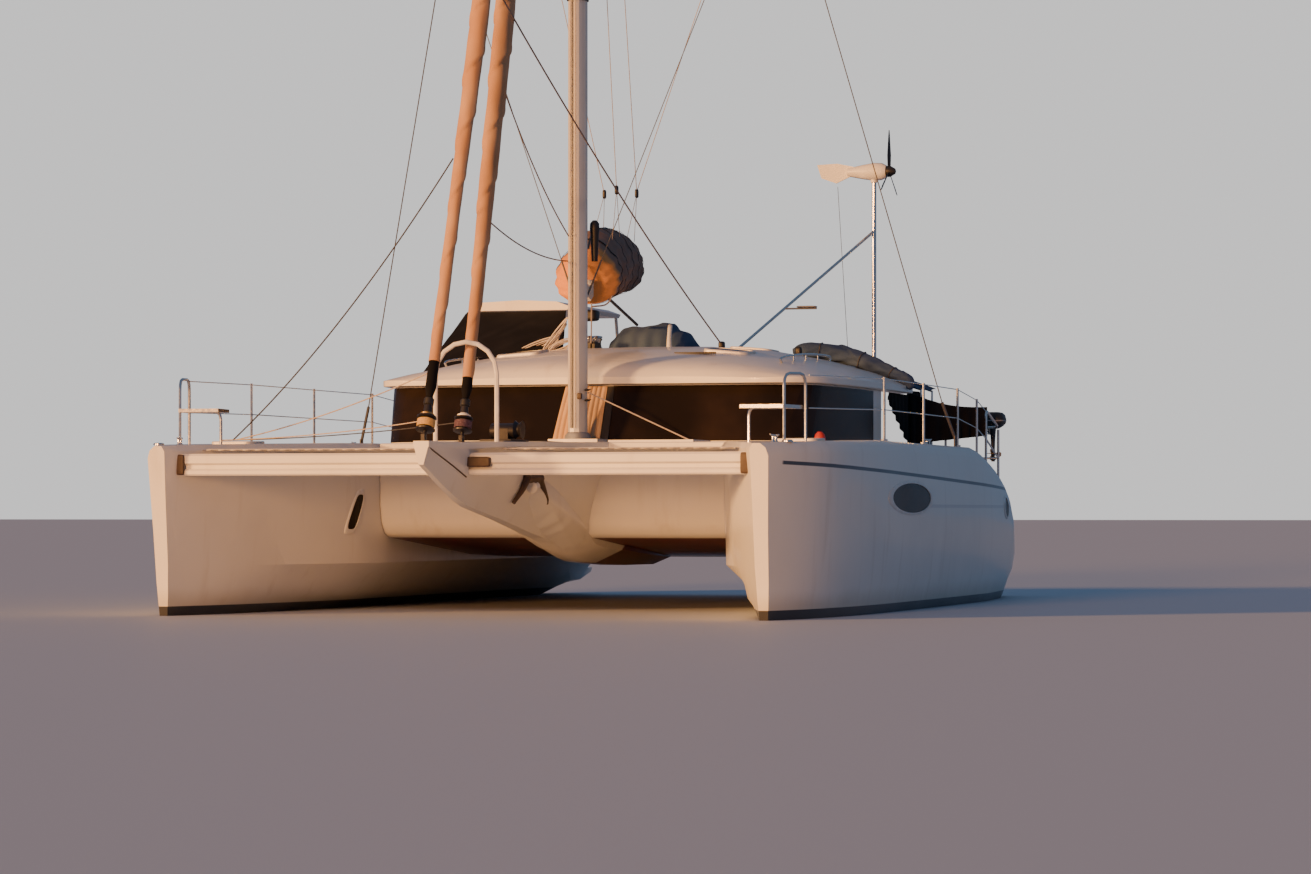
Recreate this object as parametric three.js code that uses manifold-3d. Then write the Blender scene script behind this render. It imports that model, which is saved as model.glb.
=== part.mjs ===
// Cruising catamaran with two slim hulls, a deckhouse between them and a sloop rig with two furled headsails.
// Millimetres, +Z up. +X is port, the bows point to -Y, and the origin lies on the waterline near the middle.
import * as THREE from 'three';
import { mergeVertices } from 'three/addons/utils/BufferGeometryUtils.js';
import Module from 'manifold-3d';

const wasm = await Module();
wasm.setup();

// Driving dimensions
const HULL_LENGTH = 10700;
const ORIGIN_AFT = 5950; // the frame's origin, measured aft from the stems
const HULL_SPACING = 2800; // centreplane of the boat to the centreplane of each hull
const BRIDGE_HALF = 1750; // half width of the bridge between the hulls
const DECK_Z = 1600;
const SOLE_Z = 820; // saloon and cockpit floor
const TUNNEL_Z = 690; // underside of the bridge behind its front wall
const LOW_TUNNEL_Z = 470; // its lowest part, below the saloon
const GAP = 0.3; // running gap between pieces that touch
const FAR = 20000; // beyond every edge of the boat, for cutting tools

const MAST_AFT = 3760; // mast axis, measured aft from the stems
const MAST_TOP_Z = 17500;
const OUTER_STAY_Z = 12650;
const INNER_STAY_Z = 12350;
const SHROUD_Z = 13900;
const GOOSENECK_Z = 3100;
const BOOM_LENGTH = 4950;
const BOOM_REST_DEG = 12; // the boom lies this far to starboard
const BOOM_RISE_DEG = 5;

const WALL = 40; // thickness of the deckhouse walls
const WALL_TOP_Z = 2190;
const HOUSE_HALF = 2300;
const BULKHEAD_AFT = 6900; // aft face of the saloon bulkhead
const ROOF_AFT = 8000;

// Distance aft of the stems to the frame's Y
const aft = (distance) => distance - ORIGIN_AFT;

// Solids from three.js geometry
function toSolid(geometry) {
  const bare = geometry.clone();
  bare.deleteAttribute('normal');
  bare.deleteAttribute('uv');
  const merged = mergeVertices(bare, 1e-3);
  const solid = new wasm.Manifold(new wasm.Mesh({
    numProp: 3,
    vertProperties: new Float32Array(merged.attributes.position.array),
    triVerts: new Uint32Array(merged.index.array),
  }));
  return solid;
}

function toGeometry(solid) {
  const mesh = solid.getMesh();
  const geometry = new THREE.BufferGeometry();
  geometry.setAttribute('position', new THREE.BufferAttribute(mesh.vertProperties, 3));
  geometry.setIndex(new THREE.BufferAttribute(mesh.triVerts, 1));
  geometry.computeVertexNormals();
  return geometry;
}

const join = (...solids) => solids.reduce((whole, next) => whole.add(next));
const cut = (solid, ...tools) => tools.reduce((whole, next) => whole.subtract(next), solid);

function block(x0, x1, y0, y1, z0, z1) {
  const geometry = new THREE.BoxGeometry(x1 - x0, y1 - y0, z1 - z0);
  geometry.translate((x0 + x1) / 2, (y0 + y1) / 2, (z0 + z1) / 2);
  return toSolid(geometry);
}

// Closed body over rings of equal point count, each ring counter-clockwise seen from the last ring
function loft(rings) {
  const count = rings[0].length;
  const positions = rings.flat(2);
  const index = [];
  for (let ring = 0; ring < rings.length - 1; ring += 1) {
    for (let side = 0; side < count; side += 1) {
      const here = ring * count + side;
      const beside = ring * count + ((side + 1) % count);
      index.push(here, beside, beside + count, here, beside + count, here + count);
    }
  }
  const last = (rings.length - 1) * count;
  for (const [a, b, c] of capTriangles(rings[0])) index.push(a, c, b);
  for (const [a, b, c] of capTriangles(rings[rings.length - 1])) index.push(last + a, last + b, last + c);
  const geometry = new THREE.BufferGeometry();
  geometry.setAttribute('position', new THREE.Float32BufferAttribute(positions, 3));
  geometry.setIndex(index);
  if (signedVolume(geometry) < 0) turnInsideOut(geometry);
  return toSolid(geometry);
}

// Flat triangulation of a ring, seen along the axis that it faces most
function capTriangles(ring) {
  const normal = new THREE.Vector3();
  ring.forEach((point, i) => {
    const next = ring[(i + 1) % ring.length];
    normal.x += (point[1] - next[1]) * (point[2] + next[2]);
    normal.y += (point[2] - next[2]) * (point[0] + next[0]);
    normal.z += (point[0] - next[0]) * (point[1] + next[1]);
  });
  const sizes = normal.toArray().map(Math.abs);
  const drop = sizes.indexOf(Math.max(...sizes));
  const [u, v] = [[1, 2], [2, 0], [0, 1]][drop];
  const flip = normal.toArray()[drop] < 0;
  const flat = ring.map((point) => new THREE.Vector2(flip ? -point[u] : point[u], point[v]));
  return THREE.ShapeUtils.triangulateShape(flat, []);
}

function signedVolume(geometry) {
  const p = geometry.attributes.position;
  const corner = [new THREE.Vector3(), new THREE.Vector3(), new THREE.Vector3()];
  let volume = 0;
  for (let i = 0; i < geometry.index.count; i += 3) {
    corner.forEach((v, k) => v.fromBufferAttribute(p, geometry.index.getX(i + k)));
    volume += corner[0].dot(corner[1].clone().cross(corner[2])) / 6;
  }
  return volume;
}

function turnInsideOut(geometry) {
  const index = geometry.index.array;
  for (let i = 0; i < index.length; i += 3) {
    [index[i + 1], index[i + 2]] = [index[i + 2], index[i + 1]];
  }
}

// A flat outline pushed along X, Y or Z from one place to another
const PUSH_AXES = { x: [1, 2, 0], y: [2, 0, 1], z: [0, 1, 2] };
function prism(axis, outline, from, to) {
  const [u, v, w] = PUSH_AXES[axis];
  const shape = new THREE.Shape(outline.map(([a, b]) => new THREE.Vector2(a, b)));
  const geometry = new THREE.ExtrudeGeometry(shape, { depth: to - from, bevelEnabled: false });
  const p = geometry.attributes.position;
  for (let i = 0; i < p.count; i += 1) {
    const moved = [0, 0, 0];
    moved[u] = p.getX(i);
    moved[v] = p.getY(i);
    moved[w] = p.getZ(i) + from;
    p.setXYZ(i, ...moved);
  }
  return toSolid(geometry);
}

// Straight round bar between two points, tapering when the second radius differs
function rod(start, end, radius, sides = 8, endRadius = radius) {
  const a = new THREE.Vector3(...start);
  const b = new THREE.Vector3(...end);
  const geometry = new THREE.CylinderGeometry(endRadius, radius, a.distanceTo(b), sides);
  const along = b.clone().sub(a).normalize();
  geometry.applyQuaternion(new THREE.Quaternion().setFromUnitVectors(new THREE.Vector3(0, 1, 0), along));
  geometry.translate(...a.add(b).multiplyScalar(0.5).toArray());
  return toSolid(geometry);
}

// Path through given corner points, stepped corner by corner
class Route extends THREE.Curve {
  constructor(points) {
    super();
    this.corners = points.map((point) => new THREE.Vector3(...point));
  }

  getUtoTmapping(u) {
    return u;
  }

  getPoint(t, target = new THREE.Vector3()) {
    const place = t * (this.corners.length - 1);
    const i = Math.min(Math.floor(place + 1e-9), this.corners.length - 2);
    return target.lerpVectors(this.corners[i], this.corners[i + 1], place - i);
  }

  getTangent(t, target = new THREE.Vector3()) {
    const i = Math.round(t * (this.corners.length - 1));
    const before = this.corners[Math.max(i - 1, 0)];
    const after = this.corners[Math.min(i + 1, this.corners.length - 1)];
    const here = this.corners[i];
    const arriving = here.clone().sub(before).normalize();
    const leaving = after.clone().sub(here).normalize();
    return target.copy(arriving).add(leaving).normalize();
  }
}

// Round tube along a path
function pipe(points, radius, sides = 8) {
  const section = [];
  for (let side = 0; side < sides; side += 1) {
    const angle = (side * 2 * Math.PI) / sides;
    section.push(new THREE.Vector2(radius * Math.cos(angle), radius * Math.sin(angle)));
  }
  return toSolid(new THREE.ExtrudeGeometry(
    new THREE.Shape(section),
    { steps: points.length - 1, bevelEnabled: false, extrudePath: new Route(points) },
  ));
}

// Corner points with each inner corner replaced by a few points on a round
function rounded(points, radius, steps = 3) {
  const route = [points[0]];
  for (let i = 1; i < points.length - 1; i += 1) {
    const [before, corner, after] = points.slice(i - 1, i + 2).map((p) => new THREE.Vector3(...p));
    const entry = corner.clone().add(before.clone().sub(corner).setLength(radius));
    const exit = corner.clone().add(after.clone().sub(corner).setLength(radius));
    const bend = new THREE.QuadraticBezierCurve3(entry, corner, exit);
    bend.getPoints(steps).forEach((point) => route.push(point.toArray()));
  }
  route.push(points[points.length - 1]);
  return route;
}

// A profile of [radius, height] turned about an axis through a point
function turned(profile, origin, direction, sides = 16) {
  const points = profile.map(([radius, height]) => new THREE.Vector2(radius, height));
  const geometry = new THREE.LatheGeometry(points, sides);
  const along = new THREE.Vector3(...direction).normalize();
  geometry.applyQuaternion(new THREE.Quaternion().setFromUnitVectors(new THREE.Vector3(0, 1, 0), along));
  geometry.translate(...origin);
  const merged = mergeVertices(strippedOf(geometry), 1e-3);
  if (signedVolume(merged) < 0) turnInsideOut(merged);
  return toSolid(merged);
}

function strippedOf(geometry) {
  geometry.deleteAttribute('normal');
  geometry.deleteAttribute('uv');
  return geometry;
}

// The same body moved, turned about Z or Y at a place, or mirrored to the other side
function moved(solid, x, y, z) {
  const geometry = toGeometry(solid);
  geometry.translate(x, y, z);
  return toSolid(geometry);
}

function turnedAt(solid, axis, degrees, place) {
  const geometry = toGeometry(solid);
  const turn = new THREE.Matrix4().makeRotationAxis(axis, THREE.MathUtils.degToRad(degrees));
  geometry.translate(-place[0], -place[1], -place[2]);
  geometry.applyMatrix4(turn);
  geometry.translate(...place);
  return toSolid(geometry);
}

function mirrored(solid) {
  const geometry = toGeometry(solid);
  geometry.scale(-1, 1, 1);
  turnInsideOut(geometry);
  return toSolid(geometry);
}

// A piece trimmed so that it stands a running gap clear of the body below it
const seatedOn = (solid, ...bodies) => cut(solid, ...bodies.map((body) => moved(body, 0, 0, GAP)));
const SINK = 12; // feet reach this far down before they are trimmed to their seat

const AXIS_X = new THREE.Vector3(1, 0, 0);
const AXIS_Z = new THREE.Vector3(0, 0, 1);

// Smooth value between the rows of a table, never outside the two rows that it lies between
function between(rows, column, place) {
  const last = rows.length - 1;
  const at = (i) => rows[Math.min(Math.max(i, 0), last)];
  let i = 0;
  while (i < last - 1 && place > at(i + 1).at) i += 1;
  const slope = (k) => (at(k + 1)[column] - at(k)[column]) / (at(k + 1).at - at(k).at);
  const tangent = (k) => {
    if (k <= 0) return slope(0);
    if (k >= last) return slope(last - 1);
    const [before, after] = [slope(k - 1), slope(k)];
    return before * after <= 0 ? 0 : (2 * before * after) / (before + after);
  };
  const span = at(i + 1).at - at(i).at;
  const t = Math.min(Math.max((place - at(i).at) / span, 0), 1);
  const [t2, t3] = [t * t, t * t * t];
  return (2 * t3 - 3 * t2 + 1) * at(i)[column] + (t3 - 2 * t2 + t) * span * tangent(i)
    + (3 * t2 - 2 * t3) * at(i + 1)[column] + (t3 - t2) * span * tangent(i + 1);
}

// Rows of numbers with named columns
function namedRows(columns, rows) {
  return rows.map((row) => Object.fromEntries(columns.map((name, i) => [name, row[i]])));
}

// Hull shape. All half breadths are measured from the hull's own centreplane.
// at: aft of the stem, deck: deck height, keel: depth, line: at the waterline, side: outer side at SIDE_Z,
// edge: outer deck edge, inner: inner deck edge, roof: inner side at HAUNCH_Z, flare: inner side at FLARE_Z,
// inside: inner side at the waterline. A keel below zero stands above the water.
const SIDE_Z = 760;
const HAUNCH_Z = 450; // where the inner side turns in from the bridge
const FLARE_Z = 170;
const BILGE_RISE = 60; // least height between the lowest line and the full breadth above it
const HULL_TABLE = namedRows(
  ['at', 'deck', 'keel', 'line', 'inside', 'side', 'edge', 'inner', 'roof', 'flare'], [
    [0, 1530, 90, 38, 38, 60, 82, 82, 66, 52],
    [350, 1545, 350, 120, 120, 165, 215, 250, 190, 155],
    [1100, 1565, 470, 270, 270, 345, 400, 560, 470, 390],
    [2000, 1585, 550, 370, 370, 450, 465, 880, 790, 570],
    [2950, 1600, 590, 410, 410, 510, 490, 1051, 1051, 770],
    [5000, 1600, 610, 420, 420, 535, 495, 1051, 1051, 770],
    [6950, 1600, 590, 410, 410, 525, 480, 1051, 1051, 750],
    [7900, 1480, 500, 390, 400, 505, 455, 1051, 1051, 750],
    [8700, 1330, 330, 320, 430, 455, 415, 1051, 1051, 740],
    [9500, 1150, 110, 235, 500, 375, 345, 1051, 1051, 780],
    [10150, 980, -50, 150, 560, 265, 240, 1051, 1051, 830],
    [HULL_LENGTH, 800, -130, 80, 560, 160, 140, 860, 850, 790],
  ],
);
const HULL_STATIONS = [
  0, 150, 350, 700, 1100, 1550, 2000, 2480, 2950, 3900, 5000, 6000, 6950, 7400, 7900, 8300,
  8700, 9100, 9500, 9850, 10150, HULL_LENGTH,
];
const STEM_RAKE = 180; // the stem's foot lies this far aft of its head
const RAKE_ENDS = 1500;

function hullRing(station) {
  const columns = Object.keys(HULL_TABLE[0]);
  const row = Object.fromEntries(columns.map((name) => [name, between(HULL_TABLE, name, station)]));
  const fade = Math.max(0, 1 - station / RAKE_ENDS) ** 2;
  const sideZ = Math.min(SIDE_Z, row.deck * 0.6);
  const lineZ = Math.max(0, BILGE_RISE - row.keel);
  const flareZ = Math.max(FLARE_Z, lineZ + BILGE_RISE);
  const rise = lineZ + row.keel; // from the lowest line up to the height of the waterline breadth
  const middle = (row.line - row.inside) / 2;
  const outside = row.line - middle;
  const section = [
    [middle, -row.keel],
    [middle + outside * 0.45, lineZ - rise * 0.9],
    [middle + outside * 0.82, lineZ - rise * 0.52],
    [row.line, lineZ],
    [row.line + (row.side - row.line) * 0.62, lineZ + (sideZ - lineZ) * 0.4],
    [row.side, sideZ],
    [row.side * 0.6 + row.edge * 0.4 + 4, (sideZ + row.deck) / 2],
    [row.edge, row.deck - 110],
    [row.edge - 22, row.deck - 40],
    [row.edge - 70, row.deck],
    [-(row.inner - Math.min(40, row.inner / 3)), row.deck],
    [-row.inner, row.deck - 50],
    [-(row.inner + row.roof) / 2, (row.deck + TUNNEL_Z) / 2],
    [-row.roof, HAUNCH_Z],
    [-(row.roof * 0.42 + row.flare * 0.58), (HAUNCH_Z + flareZ) / 2],
    [-row.flare, flareZ],
    [-(row.inside * 0.6 + row.flare * 0.4), lineZ + (flareZ - lineZ) * 0.42],
    [-row.inside, lineZ],
    [middle - outside * 0.82, lineZ - rise * 0.52],
    [middle - outside * 0.45, lineZ - rise * 0.9],
  ];
  return section.map(([across, height]) => {
    const z = Math.min(height, row.deck);
    const rake = STEM_RAKE * fade * (1 - z / row.deck);
    return [HULL_SPACING + across, aft(station + rake), z];
  });
}

// Rudders and drives
const RUDDER_AFT = 9550;
const BOSS_Z = -250;
const BOSS_TOP_Z = 60;
const BOSS_RADIUS = 60;
const DRIVE_AFT = 8050;
const PROP_Z = -880;

// Stern steps: each tread's front edge aft of the stems and its height
const STERN_STEPS = [
  { from: 9350, tread: 860 },
  { from: 9750, tread: 580 },
  { from: 10150, tread: 300 },
];
const STERN_COAMING = 110;

function portHull() {
  let body = loft(HULL_STATIONS.map(hullRing));
  const inboard = block(-FAR, BRIDGE_HALF + GAP / 2, -FAR, FAR, -FAR, FAR);
  body = cut(body, inboard);
  for (const step of STERN_STEPS) {
    const outerEdge = HULL_SPACING + between(HULL_TABLE, 'edge', step.from + 300) - STERN_COAMING;
    body = cut(body, block(-FAR, outerEdge, aft(step.from), FAR, step.tread, FAR));
  }
  const boss = rod(
    [HULL_SPACING, aft(RUDDER_AFT), BOSS_Z], [HULL_SPACING, aft(RUDDER_AFT), BOSS_TOP_Z], BOSS_RADIUS, 16,
  );
  return join(body, boss);
}

// Boarding ladder, folded up behind the starboard stern on two lugs
const LADDER = { x: -HULL_SPACING + 350, half: 165, at: HULL_LENGTH + 22, z: 290, length: 760 };
function ladderLugs() {
  const reach = LADDER.half + 21;
  return [-1, 1].map((side) => {
    const [x0, x1] = [LADDER.x + side * reach, LADDER.x + side * (reach + 18)].sort((a, b) => a - b);
    return block(x0, x1, aft(HULL_LENGTH - 30), aft(LADDER.at + 22), LADDER.z - 25, LADDER.z + 25);
  });
}

const hullPort = portHull();
const hullStarboard = join(mirrored(hullPort), ...ladderLugs());

// Foil-shaped blade: rows of chord front and back, half thickness and height
function blade(rows, x) {
  return loft(rows.map(({ front, back, half, z }) => {
    const chord = back - front;
    return [
      [x, aft(front), z],
      [x + half * 0.75, aft(front + chord * 0.1), z],
      [x + half, aft(front + chord * 0.35), z],
      [x + half * 0.6, aft(front + chord * 0.7), z],
      [x + 4, aft(back), z],
      [x - 4, aft(back), z],
      [x - half * 0.6, aft(front + chord * 0.7), z],
      [x - half, aft(front + chord * 0.35), z],
      [x - half * 0.75, aft(front + chord * 0.1), z],
    ];
  }));
}

const KEEL_FOOT_Z = -1180;
function keelPort() {
  const raw = blade([
    { front: 4950, back: 7150, half: 105, z: KEEL_FOOT_Z },
    { front: 4750, back: 7250, half: 125, z: -900 },
    { front: 4500, back: 7400, half: 150, z: -400 },
  ], HULL_SPACING);
  return cut(raw, moved(hullPort, 0, 0, -GAP));
}

function saildrivePort() {
  const leg = blade([
    { front: DRIVE_AFT - 130, back: DRIVE_AFT + 120, half: 38, z: PROP_Z },
    { front: DRIVE_AFT - 160, back: DRIVE_AFT + 160, half: 48, z: -300 },
  ], HULL_SPACING);
  const casing = turned(
    [[0, -230], [40, -205], [66, -120], [70, 60], [52, 150], [50, 180], [0, 180]],
    [HULL_SPACING, aft(DRIVE_AFT), PROP_Z], [0, 1, 0], 12,
  );
  return cut(join(leg, casing), moved(hullPort, 0, 0, -GAP));
}

const PROP_AFT = DRIVE_AFT + 235;
const PROP_RADIUS = 215;
function propellerPort() {
  const centre = [HULL_SPACING, aft(PROP_AFT), PROP_Z];
  const hub = turned([[0, -54.7], [50, -54.7], [50, 30], [34, 70], [0, 84]], centre, [0, 1, 0], 12);
  const bladeRows = [
    { out: 30, half: 34, twist: 62 },
    { out: 110, half: 66, twist: 42 },
    { out: 180, half: 56, twist: 30 },
    { out: PROP_RADIUS, half: 18, twist: 24 },
  ];
  const oneBlade = loft(bladeRows.map(({ out, half, twist }) => {
    const turn = THREE.MathUtils.degToRad(twist);
    const corner = (u, v) => [
      centre[0] + u * Math.cos(turn) - v * Math.sin(turn),
      centre[1] + u * Math.sin(turn) + v * Math.cos(turn),
      centre[2] + out,
    ];
    return [corner(-half, 0), corner(0, -5), corner(half, 0), corner(0, 5)];
  }));
  const blades = [0, 120, 240].map((angle) => turnedAt(oneBlade, new THREE.Vector3(0, 1, 0), angle, centre));
  return join(hub, ...blades);
}

const RUDDER_TOP_Z = -300;
const RUDDER_FOOT_Z = -1120;
function rudderPort() {
  const plate = blade([
    { front: RUDDER_AFT - 90, back: RUDDER_AFT + 270, half: 26, z: RUDDER_FOOT_Z },
    { front: RUDDER_AFT - 115, back: RUDDER_AFT + 345, half: 34, z: RUDDER_TOP_Z },
  ], HULL_SPACING);
  const stock = rod(
    [HULL_SPACING, aft(RUDDER_AFT), RUDDER_TOP_Z - 60], [HULL_SPACING, aft(RUDDER_AFT), BOSS_Z - GAP], 30, 12,
  );
  return join(plate, stock);
}

// Bridge between the hulls: front wall, foredeck, saloon and cockpit sole, aft bench
const WALL_AFT = 2950; // front wall of the bridge
const SALOON_FRONT = 4700;
const BENCH_AFT = 9650;
const BRIDGE_END = 10150;
const BENCH_Z = 1180;

function bridgeOutline(grow) {
  return [
    [aft(WALL_AFT) - grow, DECK_Z + grow],
    [aft(WALL_AFT) - grow, 1000],
    [aft(WALL_AFT + 40) - grow, 840],
    [aft(WALL_AFT + 130) - grow, 730],
    [aft(WALL_AFT + 270) - grow, TUNNEL_Z - grow],
    [aft(4300), 600 - grow],
    [aft(5600), 505 - grow],
    [aft(6800), LOW_TUNNEL_Z - grow],
    [aft(8700), LOW_TUNNEL_Z - grow],
    [aft(BRIDGE_END) + grow, 580 - grow],
    [aft(BRIDGE_END) + grow, BENCH_Z + grow],
    [aft(BENCH_AFT), BENCH_Z + grow],
    [aft(BENCH_AFT), SOLE_Z + grow],
    [aft(SALOON_FRONT), SOLE_Z + grow],
    [aft(SALOON_FRONT), DECK_Z + grow],
  ];
}

// Foredeck lockers, one each side of the mast
const LOCKER = { near: 540, far: 1320, front: 3120, back: 3700, floor: 950 };

function bridge() {
  let body = prism('x', bridgeOutline(0), -BRIDGE_HALF + GAP / 2, BRIDGE_HALF - GAP / 2);
  for (const side of [-1, 1]) {
    const [x0, x1] = [side * LOCKER.near, side * LOCKER.far].sort((a, b) => a - b);
    body = cut(body, block(x0, x1, aft(LOCKER.front), aft(LOCKER.back), LOCKER.floor, DECK_Z + 10));
  }
  return body;
}

// Central spine under the foredeck: a prow that carries the headsails, and a pod below the bridge
// at: aft of the stems, top: deck, wide: half width of the plank, body: half width below it,
// belly: half width at bellyZ, keel: lowest line, foot: half width there
const SPINE_TABLE = [
  { at: -760, top: 1550, wide: 70, body: 62, belly: 48, bellyZ: 1440, keel: 1345, foot: 22 },
  { at: 134, top: 1550, wide: 130, body: 118, belly: 105, bellyZ: 1280, keel: 1044, foot: 30 },
  { at: 400, top: 1560, wide: 330, body: 150, belly: 130, bellyZ: 1250, keel: 985, foot: 40 },
  { at: 1200, top: 1575, wide: 330, body: 220, belly: 180, bellyZ: 1180, keel: 880, foot: 50 },
  { at: 2120, top: 1588, wide: 340, body: 320, belly: 250, bellyZ: 1020, keel: 742, foot: 60 },
  { at: 2600, top: 1595, wide: 430, body: 430, belly: 300, bellyZ: 860, keel: 674, foot: 70 },
  { at: 2950, top: 1600, wide: 560, body: 560, belly: 320, bellyZ: 760, keel: 596, foot: 80 },
  { at: 3350, top: 1600, wide: 620, body: 620, belly: 310, bellyZ: 630, keel: 502, foot: 90 },
  { at: 3620, top: 1500, wide: 620, body: 600, belly: 310, bellyZ: 590, keel: 464, foot: 95 },
  { at: 4300, top: 1200, wide: 520, body: 520, belly: 340, bellyZ: 560, keel: 430, foot: 110 },
  { at: 4950, top: 1100, wide: 480, body: 480, belly: 340, bellyZ: 520, keel: 408, foot: 130 },
  { at: 5900, top: 1000, wide: 440, body: 440, belly: 320, bellyZ: 480, keel: 405, foot: 140 },
  { at: 6250, top: 1000, wide: 300, body: 300, belly: 200, bellyZ: 520, keel: 478, foot: 90 },
];
const SPINE_STATIONS = [
  -760, -300, 134, 400, 1200, 1700, 2120, 2380, 2600, 2780, 2950, 3150, 3350, 3620, 4300, 4950, 5900, 6250,
];
const BEAM = { front: 180, back: 370, low: 1265, high: 1462 };

function spine() {
  const rings = SPINE_STATIONS.map((station) => {
    const at = (column) => between(SPINE_TABLE, column, station);
    const half = [
      [at('foot'), at('keel')],
      [at('belly'), at('bellyZ')],
      [at('body'), at('top') - 60],
      [at('wide'), at('top') - 45],
      [at('wide'), at('top')],
    ];
    const port = half.map(([x, z]) => [x, aft(station), z]);
    const starboard = [...half].reverse().map(([x, z]) => [-x, aft(station), z]);
    return [...port, ...starboard];
  });
  const bridgeRoom = prism('x', [
    ...bridgeOutline(GAP).slice(0, 11), [aft(BRIDGE_END), FAR], [aft(WALL_AFT) - GAP, FAR],
  ], -FAR, FAR);
  const beamRoom = block(
    -FAR, FAR, aft(BEAM.front) - GAP, aft(BEAM.back) + GAP, BEAM.low - GAP, BEAM.high + GAP,
  );
  return cut(loft(rings), bridgeRoom, beamRoom);
}

// Aluminium forward crossbeam with an upper and a lower rail
function crossbeam() {
  const { front, back, low, high } = BEAM;
  const web = 30;
  const outline = [
    [aft(back), low], [aft(back), high], [aft(front + 20), high], [aft(front), high - 20],
    [aft(front), high - 85], [aft(front + 20), high - 100], [aft(front + web), high - 102],
    [aft(front + web), low + 62],
    [aft(front + 12), low + 58], [aft(front), low + 42], [aft(front), low + 14], [aft(front + 14), low],
  ];
  const raw = prism('x', outline, -HULL_SPACING, HULL_SPACING);
  return cut(raw, moved(hullPort, -GAP, 0, 0), moved(hullStarboard, GAP, 0, 0));
}

const spineSolid = spine();
const NET_Z = 1490;

function trampolinePort() {
  const slab = block(60, HULL_SPACING, aft(BEAM.back + GAP), aft(WALL_AFT) - GAP, NET_Z, NET_Z + 14);
  const spineRoom = [spineSolid, mirrored(spineSolid)].map((half) => moved(half, GAP, 0, 0));
  return cut(slab, moved(hullPort, -0.5, 0, 0), ...spineRoom);
}

// Tube work on deck
const TUBE = 14;
const RAIL_HEIGHT = 610;

function gunwale(distance, inset = 45) {
  const x = HULL_SPACING + between(HULL_TABLE, 'edge', distance) - 70 - inset;
  return [x, aft(distance), between(HULL_TABLE, 'deck', distance) - SINK];
}

const raised = ([x, y, z], height) => [x, y, z + height];

const PULPIT = {
  front: 680, back: 1100, inset: 190, seatShare: 0.52, innerAt: 800, innerX: HULL_SPACING - 300,
};
function pulpitPort() {
  const foot = gunwale(PULPIT.front, PULPIT.inset);
  const back = gunwale(PULPIT.back, PULPIT.inset);
  const innerFoot = [PULPIT.innerX, aft(PULPIT.innerAt), between(HULL_TABLE, 'deck', PULPIT.innerAt) - SINK];
  const seatHeight = RAIL_HEIGHT * PULPIT.seatShare;
  const rail = pipe(rounded([foot, raised(foot, RAIL_HEIGHT), raised(back, RAIL_HEIGHT), back], 110), TUBE);
  const innerRoute = [raised(foot, seatHeight), raised(innerFoot, seatHeight), innerFoot];
  const innerRail = pipe(rounded(innerRoute, 80), TUBE);
  const seat = prism('z', [
    [foot[0], aft(640)], [back[0] - 20, aft(1080)], [innerFoot[0], aft(1000)], [innerFoot[0] - 40, aft(640)],
  ], foot[2] + seatHeight - 10, foot[2] + seatHeight + 22);
  return seatedOn(join(rail, innerRail, seat), hullPort);
}

const HOOP = { at: 430, half: 288, top: 2450, radius: 22 };
function bowHoop() {
  const { at, half, top, radius } = HOOP;
  const foot = between(SPINE_TABLE, 'top', at) - SINK;
  const crown = [];
  for (let step = 1; step < 8; step += 1) {
    const angle = Math.PI - (step * Math.PI) / 8;
    crown.push([half * Math.cos(angle), aft(at), top - half + half * Math.sin(angle)]);
  }
  const legs = [[-half, aft(at), foot], [-half, aft(at), top - half], ...crown, [half, aft(at), top - half]];
  return seatedOn(pipe([...legs, [half, aft(at), foot]], radius, 8), spineSolid);
}

// Guard rail along one side: stanchions, two wires and the stern rail
const STANCHIONS = [3200, 4900, 6570, 7650];
const WIRE = 5;
const WIRE_FRONT = { at: 1140, inset: 170 }; // the guard wires end here, behind the pulpit
const STERN_RAIL = { front: 8250, back: 9290 };
function guardRailPort() {
  const posts = STANCHIONS.map((distance) => {
    const foot = gunwale(distance);
    return join(pipe([foot, raised(foot, RAIL_HEIGHT)], 13), rod(foot, raised(foot, SINK + 20), 32, 8));
  });
  const front = gunwale(WIRE_FRONT.at, WIRE_FRONT.inset);
  const sternFront = gunwale(STERN_RAIL.front);
  const sternBack = gunwale(STERN_RAIL.back);
  const sternIn = [HULL_SPACING - 330, aft(STERN_RAIL.back), sternBack[2]];
  const wires = [RAIL_HEIGHT - 14, RAIL_HEIGHT * 0.5].map((height) => pipe(
    [front, ...STANCHIONS.map((d) => gunwale(d)), sternFront].map((p) => raised(p, height)), WIRE, 6,
  ));
  const sternRail = pipe(rounded([
    sternFront, raised(sternFront, RAIL_HEIGHT), raised(sternBack, RAIL_HEIGHT + 60),
    raised(sternIn, RAIL_HEIGHT + 60), sternIn,
  ], 100), TUBE);
  const sternPost = pipe([sternBack, raised(sternBack, RAIL_HEIGHT + 35)], TUBE);
  const middleRail = pipe([
    raised(sternFront, RAIL_HEIGHT * 0.5), raised(sternBack, RAIL_HEIGHT * 0.5 + 30),
    raised(sternIn, RAIL_HEIGHT * 0.5 + 30),
  ], 11);
  return seatedOn(join(...posts, ...wires, sternRail, sternPost, middleRail), hullPort);
}

// Deckhouse plan, port half from the middle of the front to the bulkhead
const HOUSE_PLAN = [
  [0, 4200], [1000, 4215], [1780, 4260], [1960, 4310], [2090, 4400], [2160, 4520], [2200, 4700],
  [2270, 5400], [HOUSE_HALF, 6200], [HOUSE_HALF, BULKHEAD_AFT],
];

// The front leans: its foot lies ahead of its head, fading out round the corner
const FRONT_RAKE = { foot: 235, from: 4330, to: 4700 };

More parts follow.
